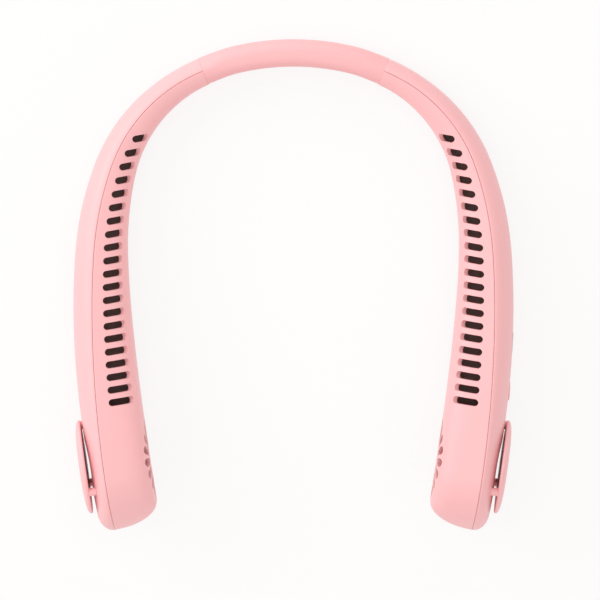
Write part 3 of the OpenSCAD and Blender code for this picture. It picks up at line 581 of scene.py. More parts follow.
def soft_edged(r_in, r_out, low, high, bevel):
    """A band's profile between two radii and two levels, with its corners rounded."""
    corners = ((r_out, high, 0), (r_in, high, 1), (r_in, low, 2), (r_out, low, 3))
    profile = []
    for r, z, quarter in corners:
        middle = (r + bevel * (1 if r == r_in else -1), z + bevel * (1 if z == low else -1))
        arc = (np.arange(4) / 3 + quarter) * math.pi / 2
        profile += [(middle[0] + bevel * math.cos(a), middle[1] + bevel * math.sin(a)) for a in arc]
    return profile


GUARD_T, GUARD_DISC_R, GUARD_RINGS, GUARD_RING_W = 0.8, 4.2, 3, 1
GUARD_SPOKES, SPOKE_HALF_W, SPOKE_HALF_T = 6, 0.5, 0.36
low = skin_out + WALL / 2
step = (INTAKE_R - GUARD_DISC_R) / GUARD_RINGS
guard = ring("right_guard", rod(GUARD_DISC_R, low, low + GUARD_T, 0.3, sides=64), dark_abs)
for i in range(GUARD_RINGS):
    r = INTAKE_R - i * step
    band = soft_edged(r - GUARD_RING_W, r - (FIT if i == 0 else 0), low, low + GUARD_T, 0.25)
    fuse(guard, turned(band, 128))
across = SPOKE_HALF_W * np.cos(circle(16))
up = low + GUARD_T / 2 + SPOKE_HALF_T * np.sin(circle(16))
spoke = [level_ring(x, across, up) for x in (GUARD_DISC_R - 0.7, INTAKE_R - 0.6)]
fuse(guard, loft(spoke), GUARD_SPOKES)
put_pair(guard, "intake_guard", "dark_abs")

# Fan housings. A tray of dark ABS carries the motor on a tube in the middle of three spokes, and its
# wall guides the air to the outlet towards the band. It stands on the casing's bosses.

PLATE_T, IMPELLER_GAP, IMPELLER_W, COVER_GAP, COVER_T = 1, 1.2, 10.4, 0.7, 0.8
HOUSING_R, HOUSING_WALL, OUTLET_HALF, OUTLET_REACH = 17.2, 1, 15.4, 19
INLET_R, SEAT_R, TUBE_R, BUSH_R = 12.6, 8.4, 2.6, 1.9
STATOR_H = 4.6
HOUSING_SPOKE_HALF_W, EDGE = 1.1, 0.15
plate_top = boss_top + PLATE_T
cup_low = plate_top + IMPELLER_GAP
cover_low = cup_low + IMPELLER_W + COVER_GAP


def housing_outline(inset):
    """The housing's outline: a round with a straight outlet, from one side of it to the other."""
    r, half = HOUSING_R - inset, OUTLET_HALF - inset
    meet = -math.acos(half / r)
    arc = np.linspace(meet, math.pi - meet, 97)
    outlet = [(half, -OUTLET_REACH), (-half, -OUTLET_REACH)]
    return outlet[:1] + [(r * math.cos(a), r * math.sin(a)) for a in arc] + outlet[1:]


def plate(low, high, bevel):
    """The housing's outline as a plate with its edges rounded."""
    levels = ((low, bevel), (low + bevel, 0), (high - bevel, 0), (high, bevel))
    return loft([level_ring(*np.transpose(housing_outline(inset)), z) for z, inset in levels])


wall_rings = []
for p, q in zip(housing_outline(0), housing_outline(HOUSING_WALL)):
    ends = ((p, plate_top - 0.2), (p, cover_low), (q, cover_low), (q, plate_top - 0.2))
    wall_rings.append([(MM * c[0], MM * c[1], MM * z) for c, z in ends])
housing = ring("right_housing", plate(boss_top, plate_top, EDGE), dark_abs)
fuse(housing, loft(wall_rings))
inlet = turned(soft_edged(SEAT_R, INLET_R, boss_top - PAST, plate_top + PAST, 0.01), 128)
inlet = ring("inlet", inlet, dark_abs)
w, long = HOUSING_SPOKE_HALF_W, HOUSING_R - 0.2
spoke = [(-w, 0), (w, 0), (w, -long), (-w, -long)]
carve(inlet, prism(spoke, boss_top - 2 * PAST, plate_top + 2 * PAST), 3)
cut(housing, inlet)
fuse(housing, rod(TUBE_R, boss_top, cup_low + STATOR_H, 0.2))
carve(housing, rod(BUSH_R + FIT / 2, boss_top + PLATE_T / 2, cover_low))
carve(housing, rod(SCREW_R, boss_top - PAST, plate_top + PAST, x=BOSS_RING_R), 3, 90)
carve(housing, rod(CAP_SEAT_R + FIT, boss_top - PAST, plate_top, x=CAP_POST_RING_R), 3, -90)
put_pair(housing, "fan_housing", "dark_abs")

# Fan covers. A thin lid of the same dark ABS closes the housing on the neck's side, round a wide inlet
# whose rim is turned over into a bell mouth.

MOUTH_W, MOUTH_ROUND = 1.1, 0.38
cover_top = cover_low + COVER_T
cover = ring("right_cover", plate(cover_low, cover_top, EDGE), dark_abs)
carve(cover, rod(INLET_R, cover_low - PAST, cover_low + 2 * PAST, sides=128))
rim = soft_edged(INLET_R, INLET_R + MOUTH_W, cover_low, cover_top, MOUTH_ROUND)
fuse(cover, turned(rim, 128))
put_pair(cover, "fan_cover", "dark_abs")

# Motors. An outer-rotor motor sits on the housing's tube: a small round board, six iron poles wound
# with enamelled copper, and a brass bush that the shaft turns in.

MAGNET_GAP, CUP_T, ROTOR_R, SHAFT_R = 0.3, 0.6, 8, 0.75
STATOR_R = ROTOR_R - 1.8
POLES, POLE_HALF_W, POLE_ARC = 6, 0.7, 0.42  # the arc is half a pole's face, in radians
COIL_IN, COIL_TURNS, WIRE_T = 3.5, 46, 0.24
BOARD_T = 0.6
axis = fan_frame.to_3x3() @ Vector((0, 0, 1))


def metal(name, colour, roughness, line_mm, direction):
    """A bare metal, with the fine lines across a direction that turning or rolling leaves in it."""
    material, tree, place = new_material(name)
    level = add(tree, vector_node, place, direction, operation="DOT_PRODUCT")["Value"]
    lines = {"W": level, "Scale": 1 / (line_mm * MM), "Detail": 3}
    lines = add(tree, "ShaderNodeTexNoise", lines, noise_dimensions="1D")["Fac"]
    stain = {"Vector": place, "Scale": 1 / (3 * MM), "Detail": 4}
    stain = add(tree, "ShaderNodeTexNoise", stain)["Fac"]
    duller = [c * 0.85 for c in linear(colour)[:3]] + [1]
    tone = {"Factor": stain, 6: linear(colour), 7: duller}
    tone = add(tree, "ShaderNodeMix", tone, data_type="RGBA")[2]
    finished(tree, tone, lines, 0.004, 0.5, lines, roughness - 0.06, roughness + 0.1, Metallic=1.0)
    return material


# Copper wire in clear enamel: warm metal under a thin, glossy varnish.
copper = metal("copper_wire_enamelled", "#c27a45", 0.3, 0.12, axis)
copper.node_tree.nodes["Principled BSDF"].inputs["Coat Weight"].default_value = 0.6
# Punched silicon steel, stacked: dull grey with the edges of its sheets as fine lines.
laminated = metal("silicon_steel_laminated", "#83858a", 0.45, 0.35, axis)
# Turned brass with lathe lines, oiled.
brass = metal("brass_turned", "#c9a15a", 0.28, 0.1, axis)

low, high = plate_top + BOARD_T, cup_low + STATOR_H
arc, w = np.linspace(-POLE_ARC, POLE_ARC, 9), POLE_HALF_W
pole = [(TUBE_R + 0.06, -w), (STATOR_R - w, -w)]
for a in arc:
    r = STATOR_R - w * (abs(a) > POLE_ARC - 0.01)
    pole.append((r * math.cos(a), STATOR_R * math.sin(a)))
pole += [(STATOR_R - w, w), (TUBE_R + 0.06, w)]
stator = ring("right_stator", prism(pole, low + 0.5, high - 0.5), laminated, POLES)
fuse(stator, turned(soft_edged(TUBE_R + FIT / 2, TUBE_R + 0.75, low, high, 0.1)))
# A coil's turns show as ribs, and widen towards the pole's face. Its corners are rounded.
arc = circle(28)
across, up = (np.sign(wave) * np.sqrt(np.abs(wave)) for wave in (np.cos(arc), np.sin(arc)))
turns = []
for x in np.linspace(COIL_IN, STATOR_R - 0.85, COIL_TURNS):
    wire = 0.09 * abs(math.sin((x - COIL_IN) * math.pi / WIRE_T))
    wide, tall = 0.85 + 0.16 * (x - COIL_IN) + wire, (high - low) / 2 - 0.12 + wire
    turns.append(level_ring(x, wide * across, (low + high) / 2 + tall * up))
coils = ring("coils", loft(turns), copper, POLES)
put_pair(joined(stator, coils), "motor_stator", "copper")

bush = turned(soft_edged(SHAFT_R + 0.03, BUSH_R, boss_top + PLATE_T / 2, high, 0.12), 48)
put_pair(ring("right_bush", bush, brass), "shaft_bush", "brass")

# Glass epoxy under green solder mask: copper tracks show as raised, lighter lines.
TRACK_MM, WEAVE_MM = 1.1, 0.5
solder_mask, tree, place = new_material("circuit_board_green_mask")
tracks = {"Vector": place, "Scale": 1 / (TRACK_MM * MM), "Mortar Size": 0.09, "Mortar Smooth": 0.3}
tracks.update({"Color1": (0, 0, 0, 1), "Color2": (0, 0, 0, 1), "Mortar": (1, 1, 1, 1)})
tracks = add(tree, "ShaderNodeTexBrick", tracks, offset=0.37)["Color"]
weave = add(tree, "ShaderNodeTexNoise", {"Vector": place, "Scale": 1 / (WEAVE_MM * MM)})["Fac"]
tone = {"Factor": tracks, 6: linear("#1f5a3a"), 7: linear("#3c8a58")}
tone = add(tree, "ShaderNodeMix", tone, data_type="RGBA")[2]
finished(tree, tone, tracks, 0.03, 1, weave, 0.25, 0.4)
disc = turned(soft_edged(TUBE_R + FIT / 2, ROTOR_R - 0.4, plate_top, plate_top + BOARD_T, 0.05))
put_pair(ring("right_motor_board", disc, solder_mask), "motor_board", "circuit_board")

# Rotors. A drawn steel cup with a ring magnet in it turns on the shaft, which is pressed into the
# impeller's hub. They turn with the impeller.

# Deep-drawn nickel-plated steel: bright, with soft lines round it.
drawn_steel = metal("steel_drawn_nickelled", "#b9bcc0", 0.27, 0.5, axis)
# Bonded ferrite: charcoal grey, dead matt, with a powdery grain.
ferrite = moulded("ferrite_bonded_matt", "#45454a", 0.7, 0.15, 0.02, 0.15)
# Ground tool steel, polished: the brightest metal in the motor.
ground_steel = metal("steel_shaft_ground", "#c8cbd0", 0.14, 0.05, axis)


def corner(r, z, round_r):
    """The corner between a side at that radius and a top at that level, rounded."""
    arc = np.linspace(0, math.pi / 2, 7)
    return [(r - round_r * (1 - math.cos(a)), z - round_r * (1 - math.sin(a))) for a in arc]


cup_top = cup_low + STATOR_H + 3 * CUP_T
cup = [(ROTOR_R - CUP_T, cup_low), (ROTOR_R, cup_low), *corner(ROTOR_R, cup_top, 1.5 * CUP_T)]
cup += [(SHAFT_R, cup_top), (SHAFT_R, cup_top - CUP_T)]
cup += corner(ROTOR_R - CUP_T, cup_top - CUP_T, CUP_T / 2)[::-1]
put_pair(ring("right_rotor_cup", turned(cup, 128), drawn_steel), "rotor_cup", "steel", "rotor")
magnet = soft_edged(STATOR_R + MAGNET_GAP, ROTOR_R - CUP_T, cup_low + CUP_T / 2, high, 0.15)
put_pair(ring("right_magnet", turned(magnet), ferrite), "rotor_magnet", "magnet", "rotor")
hub_top = cup_top + 0.8
shaft = rod(SHAFT_R, boss_top + PLATE_T / 2 + FIT, hub_top, 0.15)
put_pair(ring("right_shaft", shaft, ground_steel), "motor_shaft", "steel", "rotor")

# Impellers. Double-sided sirocco wheels of dark ABS: 27 forward-curved blades on each side of a web,
# held by a rim at both ends. Each blade is a thin aerofoil, thickest near its middle.

IMPELLER_R, BLADE_IN_R, BLADES = 15.2, 11.4, 27
RIM_W, RIM_T = 1, 0.6
WEB_R, WEB_T = 13.3, 0.8
top = cup_low + IMPELLER_W
# A blade sweeps forwards more and more, and half its thickness is 0.12 mm and up to 0.26 mm more.
share = np.linspace(0, 1, 13)
radius = BLADE_IN_R + (IMPELLER_R - RIM_W / 2 - BLADE_IN_R) * share
sweep = np.radians(10 * share + 24 * share**2)
half = (0.12 + 0.26 * np.sqrt(share) * (1 - share) / 0.385) / radius
front = np.stack([radius * np.cos(sweep + half), radius * np.sin(sweep + half)], axis=-1)
rear = np.stack([radius * np.cos(sweep - half), radius * np.sin(sweep - half)], axis=-1)
blade = prism(np.concatenate([front, rear[::-1]]), cup_low + RIM_T / 2, top - RIM_T / 2)
impeller = ring("right_impeller", blade, dark_abs, BLADES)
for low, high in ((cup_low, cup_low + RIM_T), (top - RIM_T, top)):
    fuse(impeller, turned(soft_edged(IMPELLER_R - RIM_W, IMPELLER_R, low, high, 0.28), 128))
web_low = cup_low + (IMPELLER_W - WEB_T) / 2
hub_r, web_high = ROTOR_R + 0.8, web_low + WEB_T
hub = [(ROTOR_R, cup_low + FIT), (hub_r, cup_low + FIT), (hub_r, web_low - 0.3), (hub_r + 0.6, web_low)]
hub += [(WEB_R - 0.1, web_low + 0.2), (WEB_R, web_low + 0.4), (WEB_R - 0.1, web_low + 0.6)]
hub += [(hub_r + 0.6, web_high), *corner(hub_r, hub_top, 0.8)]
hub += [(SHAFT_R, hub_top), (SHAFT_R, cup_top), (ROTOR_R, cup_top)]
fuse(impeller, turned(hub, 128))
put_pair(impeller, "impeller", "dark_abs", "rotor")

# Screws. Self-tapping screws of zinc-plated steel with a pan head and a cross recess: three hold each
# housing, three each cap, and one in the nose holds each casing together.

# Bright zinc plate: pale, slightly blue, with a soft spread highlight.
zinc = metal("steel_zinc_plated", "#bcc0c6", 0.3, 0.3, axis)
PITCH, THREAD_H = 0.8, 0.16
HEAD_R, HEAD_H, CAP_HEAD_R, CAP_HEAD_H = 1.3, 0.8, 1.8, 1


def screw(head_r, head_h, r, length, x, level, turn=0):
    """A screw at distance x from the axis, with the underside of its head at level."""
    turns = circle(24)
    radii, levels = [], np.linspace(-length, 0, int(length * 12) + 1)
    for z in levels:
        flank = 1 - 1.7 * np.abs(2 * ((z / PITCH - turns / math.tau) % 1) - 1)
        point = min(1, 0.35 + (z + length) / 0.9)
        radii.append((r - THREAD_H + THREAD_H * np.clip(flank, 0, 1)) * point)
    arc = np.linspace(0, 1.5, 8)
    radii += [head_r - 0.08, head_r, *(head_r * np.cos(arc))]
    levels = [*levels, 0, 0.08, *(head_h * (0.3 + 0.7 * np.sin(arc)))]
    rings = [level_ring(q * np.cos(turns), q * np.sin(turns), z) for q, z in zip(radii, levels)]
    made = piece("screw", loft(rings), zinc)
    for wide, long in ((0.13, 0.62), (0.62, 0.13)):
        p, q = head_r * np.array([(-wide, wide, wide, -wide), (-long, -long, long, long)])
        cross = [level_ring(p * flare, q * flare, head_h * z) for z, flare in ((0.3, 0.6), (1.5, 1.3))]
        cut(made, piece("cross", loft(cross), zinc))
    mesh = made.data
    bpy.data.objects.remove(made)
    mesh.transform(Matrix.Translation((x * MM, 0, level * MM)) @ Matrix.Rotation(turn, 4, "X"))
    return mesh


mesh = screw(HEAD_R, HEAD_H, SCREW_R - FIT, 2.25, BOSS_RING_R, plate_top)
put_pair(ring("right_housing_screws", mesh, zinc, 3, 90), "housing_screws", "steel")
mesh = screw(CAP_HEAD_R, CAP_HEAD_H, SCREW_R - FIT, 4.9, CAP_POST_RING_R, boss_top - FIT)
put_pair(ring("right_cap_screws", mesh, zinc, 3, -90), "cap_screws", "steel")
mesh = screw(HEAD_R, HEAD_H, SCREW_R - FIT, 4.4 - nose_seat, NOSE_SCREW_R, nose_seat, math.pi)
put_pair(ring("right_nose_screw", mesh, zinc, 1, 90), "shell_screw", "steel")

# Air guides. An upright wall of dark ABS parts the duct from the cell, and its shelf shares the air
# between the upper and the lower slots. This is the dark surface that shows through the slots.

GUIDE_T, GUIDE_GAP, GUIDE_U = 0.8, 0.3, 3.2
GUIDE_FIRST, GUIDE_LAST = 22, FAN_S - 22
rings = []
for share in np.linspace(0, 1, 121):
    s = GUIDE_FIRST + (GUIDE_LAST - GUIDE_FIRST) * share
    u1 = GUIDE_U * np.interp(share, (0, 0.1, 0.3, 0.78, 1), (0.1, 0.4, 0.5, 0.5, 0.2))
    u2, u3 = u1 + GUIDE_T, half_width(s, INNER, WALL) - GUIDE_GAP
    z, t = roof(s, INNER, u2) - GUIDE_GAP, GUIDE_T / 2
    u = np.array([u1, u1 + 0.2, u2 - 0.2, u2, u2, u2 + 0.4, u3 - 0.2, u3])
    level = np.array([z - 0.2, z, z, z - 0.2, t + 0.4, t, t, t - 0.2])
    rings.append(at(s, np.concatenate([u, u[::-1]]), np.concatenate([level, -level[::-1]])))
put_pair(piece("right_air_guide", loft(rings), dark_abs), "air_guide", "dark_abs")

# Cells. A flat lithium pouch lies outside the guide in each arm: aluminium laminate, folded round the
# cell with its edges sealed and turned up, so its skin is faintly crumpled.

CELL_LEN, CELL_T, CELL_H, CELL_U = 42, 4.6, 16, -1
CELL_S = FAN_S - 82
cell_wrap, tree, place = new_material("aluminium_laminate_pouch")
creases = {"Vector": place, "Scale": 1 / (5 * MM), "Detail": 4, "Distortion": 1.5}
creases = add(tree, "ShaderNodeTexNoise", creases)["Fac"]
finished(tree, linear("#9aa3ad"), creases, 0.15, 1, creases, 0.28, 0.42, Metallic=0.8)
arc, rings = circle(64), []
for level, inset in ((-1, 0.5), (-0.82, 0.18), (-0.55, 0), (0.55, 0), (0.82, 0.18), (1, 0.5)):
    half_h, half_l = CELL_H / 2 - inset, CELL_LEN / 2 - inset
    p = half_h * np.sign(np.cos(arc)) * np.abs(np.cos(arc)) ** 0.16
    q = half_l * np.sign(np.sin(arc)) * np.abs(np.sin(arc)) ** 0.1
    rings.append(level_ring(p, q, CELL_U + level * CELL_T / 2))
cell = loft(rings)
cell.transform(wall_frame(CELL_S))
put_pair(piece("right_cell", cell, cell_wrap), "battery", "cell_wrap")

# Leads. Two thin PVC-covered wires, twisted together, run from the band's plug over the cell to the
# motor in each arm.

# Soft PVC in oxide red: smooth, with a waxy highlight.
lead_pvc = moulded("lead_pvc_red", "#7a2b2b", 0.38, 0.3, 0.005, IOR=1.53)
LEAD_R, WIRE_R, TWIST_R, TWIST_LEN, LEAD_SPAN = 0.7, 0.33, 0.34, 7, 8.2
# Stops: share of the arm's length, place inward as a share of the span, height as one of the room.
ROUTE = np.array([
    [0.042, 0.22, 0], [0.07, 0.06, 0], [0.1, -0.1, 0.1], [0.16, -0.12, 0.3], [0.22, -0.14, 0.6],
    [0.29, -0.14, 0.85], [0.36, -0.14, 1], [0.43, -0.14, 1], [0.5, -0.14, 1], [0.57, -0.14, 1],
    [0.63, -0.16, 1], [0.69, -0.24, 0.8], [0.73, -0.34, 0.6], [0.76, -0.46, 0.45],
    [0.79, -0.5, 0.6], [0.82, -0.49, 0.45], [0.845, -0.48, 0.15],
])
stops = []
for share, out, rise in ROUTE:
    s, u = share * ARM_LEN, out * LEAD_SPAN
    top = roof(s, INNER if u > LEAD_R else OUTER, abs(u - LEAD_R))
    stops.append(at(s, u, rise * (top - LEAD_R - GUIDE_GAP)))
stops = np.array(stops)
length = np.concatenate([[0], np.cumsum(np.linalg.norm(np.diff(stops, axis=0), axis=1))])


def on_route(d):
    """Point at distance d along the leads' route."""
    return np.array([np.interp(d, length, stops[:, k]) for k in range(3)])


wires = []
for phase in (0, math.pi):
    rings = []
    for d in np.linspace(0, length[-1], 700):
        run = on_route(min(d + 1e-4, length[-1])) - on_route(max(d - 1e-4, 0))
        run /= np.linalg.norm(run)
        side = np.cross(run, (0, 0, 1))
        side /= np.linalg.norm(side)
        up = np.cross(side, run)
        twist = d / (TWIST_LEN * MM) * math.tau + phase
        centre = on_route(d) + TWIST_R * MM * (math.cos(twist) * side + math.sin(twist) * up)
        around = (math.cos(a) * side + math.sin(a) * up for a in circle(10))
        rings.append([centre + WIRE_R * MM * way for way in around])
    wires.append(piece("right_leads", loft(rings), lead_pvc))
put_pair(joined(*wires), "motor_leads", "lead_sleeve")

# Main board, in the right arm behind the controls: green masked glass epoxy with a driver chip, a coil
# and a few chip capacitors soldered on its inner face.

MAIN_T, MAIN_H, MAIN_LEN, MAIN_TOP = 1, 18, 36, -1.6
# Black epoxy moulding compound of the chips: dull, finely grained.
epoxy = moulded("epoxy_black_chip", "#1d1c1e", 0.55, 0.12, 0.01, 0.1)


def block(name, wide, long, low, high, bevel, material, s=BOARD_S, across=0):
    """A block square to the board with rounded edges, wide across the arm and long along it."""
    rings = []
    for z, inset in ((low, bevel), (low + bevel, 0), (high - bevel, 0), (high, bevel)):
        p, q, r = wide / 2 - inset, long / 2 - inset, bevel
        half = ((p, q - r), (p - r, q), (r - p, q), (-p, q - r))
        rings.append([(MM * t * a, MM * t * b, MM * z) for t in (1, -1) for a, b in half])
    return on_board(name, loft(rings), s, material, across)


main_board = block("main_board_piece", MAIN_H, MAIN_LEN, MAIN_TOP, MAIN_TOP + MAIN_T, 0.06, solder_mask)
face = MAIN_TOP + MAIN_T - 0.02  # the components stand a hair into the board
parts = [
    block("chip", 5, 5, face, 0.2, 0.08, epoxy, BOARD_S + 3, 2),
    block("coil", 4, 4, face, 0.5, 0.4, epoxy, BOARD_S - 7, -3),
]
for i in range(5):
    parts.append(block("capacitor", 0.8, 1.6, face, 0.1, 0.1, brass, BOARD_S - 2 + 3 * i, -5.5))
put(joined(main_board, *parts), "circuit_board", "right_arm", "main_board")

# Charging socket: a drawn stainless shell with round ends and a thin contact tongue in its mouth. Its
# mouth is flush with the casing.

# Stainless shell, bead-blasted: grey, with an even soft shine.
stainless = metal("stainless_shell_blasted", "#a9acb1", 0.34, 0.4, Vector((0, 0, 1)))
mouth = -half_width(SOCKET_S, OUTER)
levels = [(MAIN_TOP, 0), (mouth + 0.1, 0), (mouth, 0.1), (mouth, 0.25), (mouth + 0.15, 0.3)]
levels.append((MAIN_TOP - 0.4, 0.3))
socket = on_board("socket_piece", pill(SOCKET_W, SOCKET_H, levels), SOCKET_S, stainless)
tongue = block("tongue", 0.7, 6.2, mouth + 0.9, MAIN_TOP - 0.2, 0.15, epoxy, SOCKET_S)
put(joined(socket, tongue), "steel", "right_arm", "usb_socket")

# Power switch: a tact switch on the board, in dark ABS with a steel cover plate and a round plunger
# that ends just under the button.

FLANGE_LOW, FLANGE_T = 0.6 - half_width(BUTTON_S, OUTER, WALL), 0.5
body_top = MAIN_TOP - 2
switch = block("switch_piece", 6, 6, body_top + 0.25, MAIN_TOP, 0.15, dark_abs, BUTTON_S)
cover = block("cover", 5.6, 5.6, body_top, body_top + 0.4, 0.1, stainless, BUTTON_S)
plunger = rod(1.6, FLANGE_LOW + FLANGE_T + 0.7, body_top + 0.1, 0.12)
plunger = on_board("plunger", plunger, BUTTON_S, epoxy)
put(joined(switch, cover, plunger), "dark_abs", "right_arm", "power_switch")

# Power button: a low dome of the casing's pink ABS in a round hole, with a flange behind the wall that
# keeps it in. It slides in along the switch's axis.

face = -half_width(BUTTON_S, OUTER) - 0.5
low, high = FLANGE_LOW, FLANGE_LOW + FLANGE_T
flange_r, edge_r = BUTTON_R + 0.8, 0.35
dome = [(0, high), (flange_r - 0.1, high), (flange_r, high - 0.1), (flange_r, low + 0.1)]
dome += [(flange_r - 0.1, low), (BUTTON_R, low)]
arc = np.linspace(0, 1.3, 7)
dome += [(BUTTON_R - edge_r * (1 - math.cos(a)), face + 0.55 - edge_r * math.sin(a)) for a in arc]
dome += [(r, face + 0.16 * (r / 3.7) ** 2) for r in np.linspace(3.5, 0, 12)]
button = on_board("button_piece", turned(dome), BUTTON_S, pink_abs)
put(button, "pink_abs", "button", "power_button")

# Charge lights: three round windows of milky acrylic on one bar, set flush in the casing. They spread
# the light of the diodes behind them.

# Milky acrylic: white, glossy, and slightly clear.
acrylic = moulded("acrylic_milky_polished", "#fff4ee", 0.16, 0.5, 0.002, 0.02, IOR=1.49)
acrylic.node_tree.nodes["Principled BSDF"].inputs["Transmission Weight"].default_value = 0.25
low = 0.3 - half_width(LIGHT_S, OUTER, WALL)
lens = block("lens_piece", 1.6, 2 * LIGHT_PITCH + 1.6, low, low + 1.6, 0.2, acrylic, LIGHT_S)
for i in (-1, 0, 1):
    window = rod(LIGHT_R, -half_width(LIGHT_S, OUTER), low + 0.8, 0.12)
    cut(lens, on_board("window", window, LIGHT_S + i * LIGHT_PITCH, acrylic), "UNION")
put(lens, "lens", "right_arm", "light_lens")

# Caps. A shallow dome of pink ABS stands off each arm's outer wall on three posts moulded with it, so
# that air is drawn in all round its rim. Its edge is rounded to a soft lip.

CAP_R, CAP_T, CAP_GAP, CAP_EDGE_R = 20.2, 3.1, 1, 0.6
cap_in = skin_out - CAP_GAP
rim = cap_in - CAP_EDGE_R
arc = np.linspace(0, math.pi / 2, 7)
profile = [(0, cap_in)]
profile += [(CAP_R - CAP_EDGE_R * (1 - math.sin(a)), rim + CAP_EDGE_R * math.cos(a)) for a in arc]
arc = np.linspace(0, math.pi / 2, 49)
dome = [(CAP_R * math.cos(a) ** 0.6, (CAP_T - CAP_EDGE_R) * math.sin(a) ** 0.8) for a in arc]
profile += [(r, rim - level) for r, level in dome]
cap = ring("right_cap", turned(profile, 160), pink_abs)
post = rod(CAP_POST_R, cap_in - CAP_EDGE_R / 2, boss_top - 2 * FIT, 0.2, CAP_POST_RING_R)
fuse(cap, post, 3, -90)
carve(cap, rod(SCREW_R - FIT, boss_top - 5, boss_top + PAST, x=CAP_POST_RING_R), 3, -90)
put_pair(cap, "outer_cap", "pink_abs")

# Band. One soft silicone sleeve from arm to arm, moulded over a spring strip and a cable, in the same
# pink. Over its last stretch its section turns into the arm's own, so that it runs on without a line.
# It is made in two halves that meet in the middle.

BAND_R, BAND_Y, BAND_TURN = 106.412, -6.62668, math.radians(21.5)
BAND_H, BAND_OUT, BAND_IN, BAND_ROUNDNESS = 18, 5.3, 6.1, 2.8
BAND_BLEND, BAND_SHIFT = 14, 0.25  # where the band turns into the arm, and how far out it lies there
STRIP_REACH, CABLE_REACH = 4, 9  # how far the strip and the cable run on into an arm
# Silicone of 60 Shore, matt: a touch deeper pink than the ABS, with a soft, wide highlight.
silicone = moulded("pink_silicone_matt", "#f8babc", 0.5, 0.5, 0.015, 0.02, IOR=1.41)

# Geometry nodes that carry a section along the band. The base mesh is the section, flat in x and y,
# and each of its points also knows its place in the arm's section.
tree, given = new_tree("band_sweep", [(label, "Float") for label in ("Radius", "Turn", "Blend")])
outline = add(tree, "GeometryNodeMeshToCurve", {"Mesh": given["Geometry"]})[0]
path = add(tree, "GeometryNodeCurvePrimitiveLine", {"End": Vector((0, 0, 1))})[0]
path = add(tree, "GeometryNodeResampleCurve", {"Curve": path, "Count": 90})[0]
share = add(tree, "GeometryNodeSplineParameter")["Factor"]
store = {"Geometry": path, "Name": "share", "Value": share}
path = add(tree, "GeometryNodeStoreNamedAttribute", store, data_type="FLOAT")[0]
tube = {"Curve": path, "Profile Curve": outline, "Fill Caps": True}
tube = add(tree, "GeometryNodeCurveToMesh", tube)[0]
stored = {}
for label, kind in (("share", "FLOAT"), ("section", "FLOAT_VECTOR"), ("section_at_arm", "FLOAT_VECTOR")):
    stored[label] = add(tree, "GeometryNodeInputNamedAttribute", {"Name": label}, data_type=kind)[0]
left = add(tree, math_node, 1, stored["share"], operation="SUBTRACT")[0]
left = add(tree, math_node, left, given["Turn"], operation="MULTIPLY")[0]
left = add(tree, math_node, left, given["Radius"], operation="MULTIPLY")[0]
blend = {"Value": left, "From Max": given["Blend"], "To Min": 1, "To Max": 0}
blend = add(tree, "ShaderNodeMapRange", blend, interpolation_type="SMOOTHSTEP")[0]
point = {"Factor": blend, 4: stored["section"], 5: stored["section_at_arm"]}
point = add(tree, "ShaderNodeMix", point, data_type="VECTOR")[1]
point = add(tree, "ShaderNodeSeparateXYZ", point)
turn = add(tree, math_node, stored["share"], given["Turn"], operation="MULTIPLY")[0]
reach = add(tree, math_node, given["Radius"], point["X"], operation="ADD")[0]
place = {"Z": point["Y"]}
for axis_name, wave in (("X", "SINE"), ("Y", "COSINE")):
    wave = add(tree, math_node, turn, operation=wave)[0]
    place[axis_name] = add(tree, math_node, reach, wave, operation="MULTIPLY")[0]
place = add(tree, "ShaderNodeCombineXYZ", place)[0]
tube = add(tree, "GeometryNodeSetPosition", {"Geometry": tube, "Position": place})[0]
band_sweep = ends_as_mesh(tree, tube, given["Material"])


def swept(name, own, target, turn, blend, material):
    """A section carried from the band's middle, as points of reach and height, to that turn."""
    count = len(own)
    base = bpy.data.meshes.new(name)
    points = [(MM * p, MM * q, 0) for p, q in own]
    base.from_pydata(points, [(i, (i + 1) % count) for i in range(count)], [])
    for label, points in (("section", own), ("section_at_arm", target)):
        values = [MM * c for p in points for c in (*p, 0)]
        base.attributes.new(label, "FLOAT_VECTOR", "POINT").data.foreach_set("vector", values)
    values = {"Radius": BAND_R * MM, "Turn": turn, "Blend": blend * MM, "Material": material}
    obj = grown(name, base, band_sweep, values)
    obj.data.transform(Matrix.Translation((0, BAND_Y * MM, 0)))
    closed(obj.data)
    return shaded(obj)


def put_bending(right, slot, *stands_for):
    """Makes a mirrored copy of the right half of a band piece, hides the nodes they stand for, and bakes
    each one's placement into its mesh.
    """
    left = mirrored(right, right.name.replace("right", "left"))
    for obj, side, sign in ((right, "right", 1), (left, "left", -1)):
        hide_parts(*(node.replace("SIDE", side) for node in stands_for))
        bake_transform(obj)


angles = (np.arange(96) + 0.5) * math.tau / 96
sweep_cos, sweep_sin = np.cos(angles), np.sin(angles)
power = 2 / BAND_ROUNDNESS
reach = np.where(sweep_cos > 0, BAND_OUT, BAND_IN) * np.sign(sweep_cos) * np.abs(sweep_cos) ** power
height = BAND_H / 2 * (1 + np.sign(sweep_sin) * np.abs(sweep_sin) ** power)
arm_reach, arm_height = [], []
for c, q in zip(sweep_cos, sweep_sin):
    side = OUTER if c > 0 else INNER
    n, w = along(ROUNDNESS[side], 0), half_width(0, side) - side * BAND_SHIFT
    u = w * abs(c) ** (2 / n)
    arm_reach.append(-side * u)
    arm_height.append(BAND_H / 2 + (half_height(0) - RIDGE * u) * math.copysign(abs(q) ** (2 / n), q))
section_own = list(zip(reach, height))
section_arm = list(zip(arm_reach, arm_height))
band_end = BAND_TURN - 0.02 / BAND_R
band = swept("right_band_half", section_own, section_arm, band_end, BAND_BLEND, silicone)
put_bending(band, "pink_silicone", "band_center", "band_flex_SIDE")

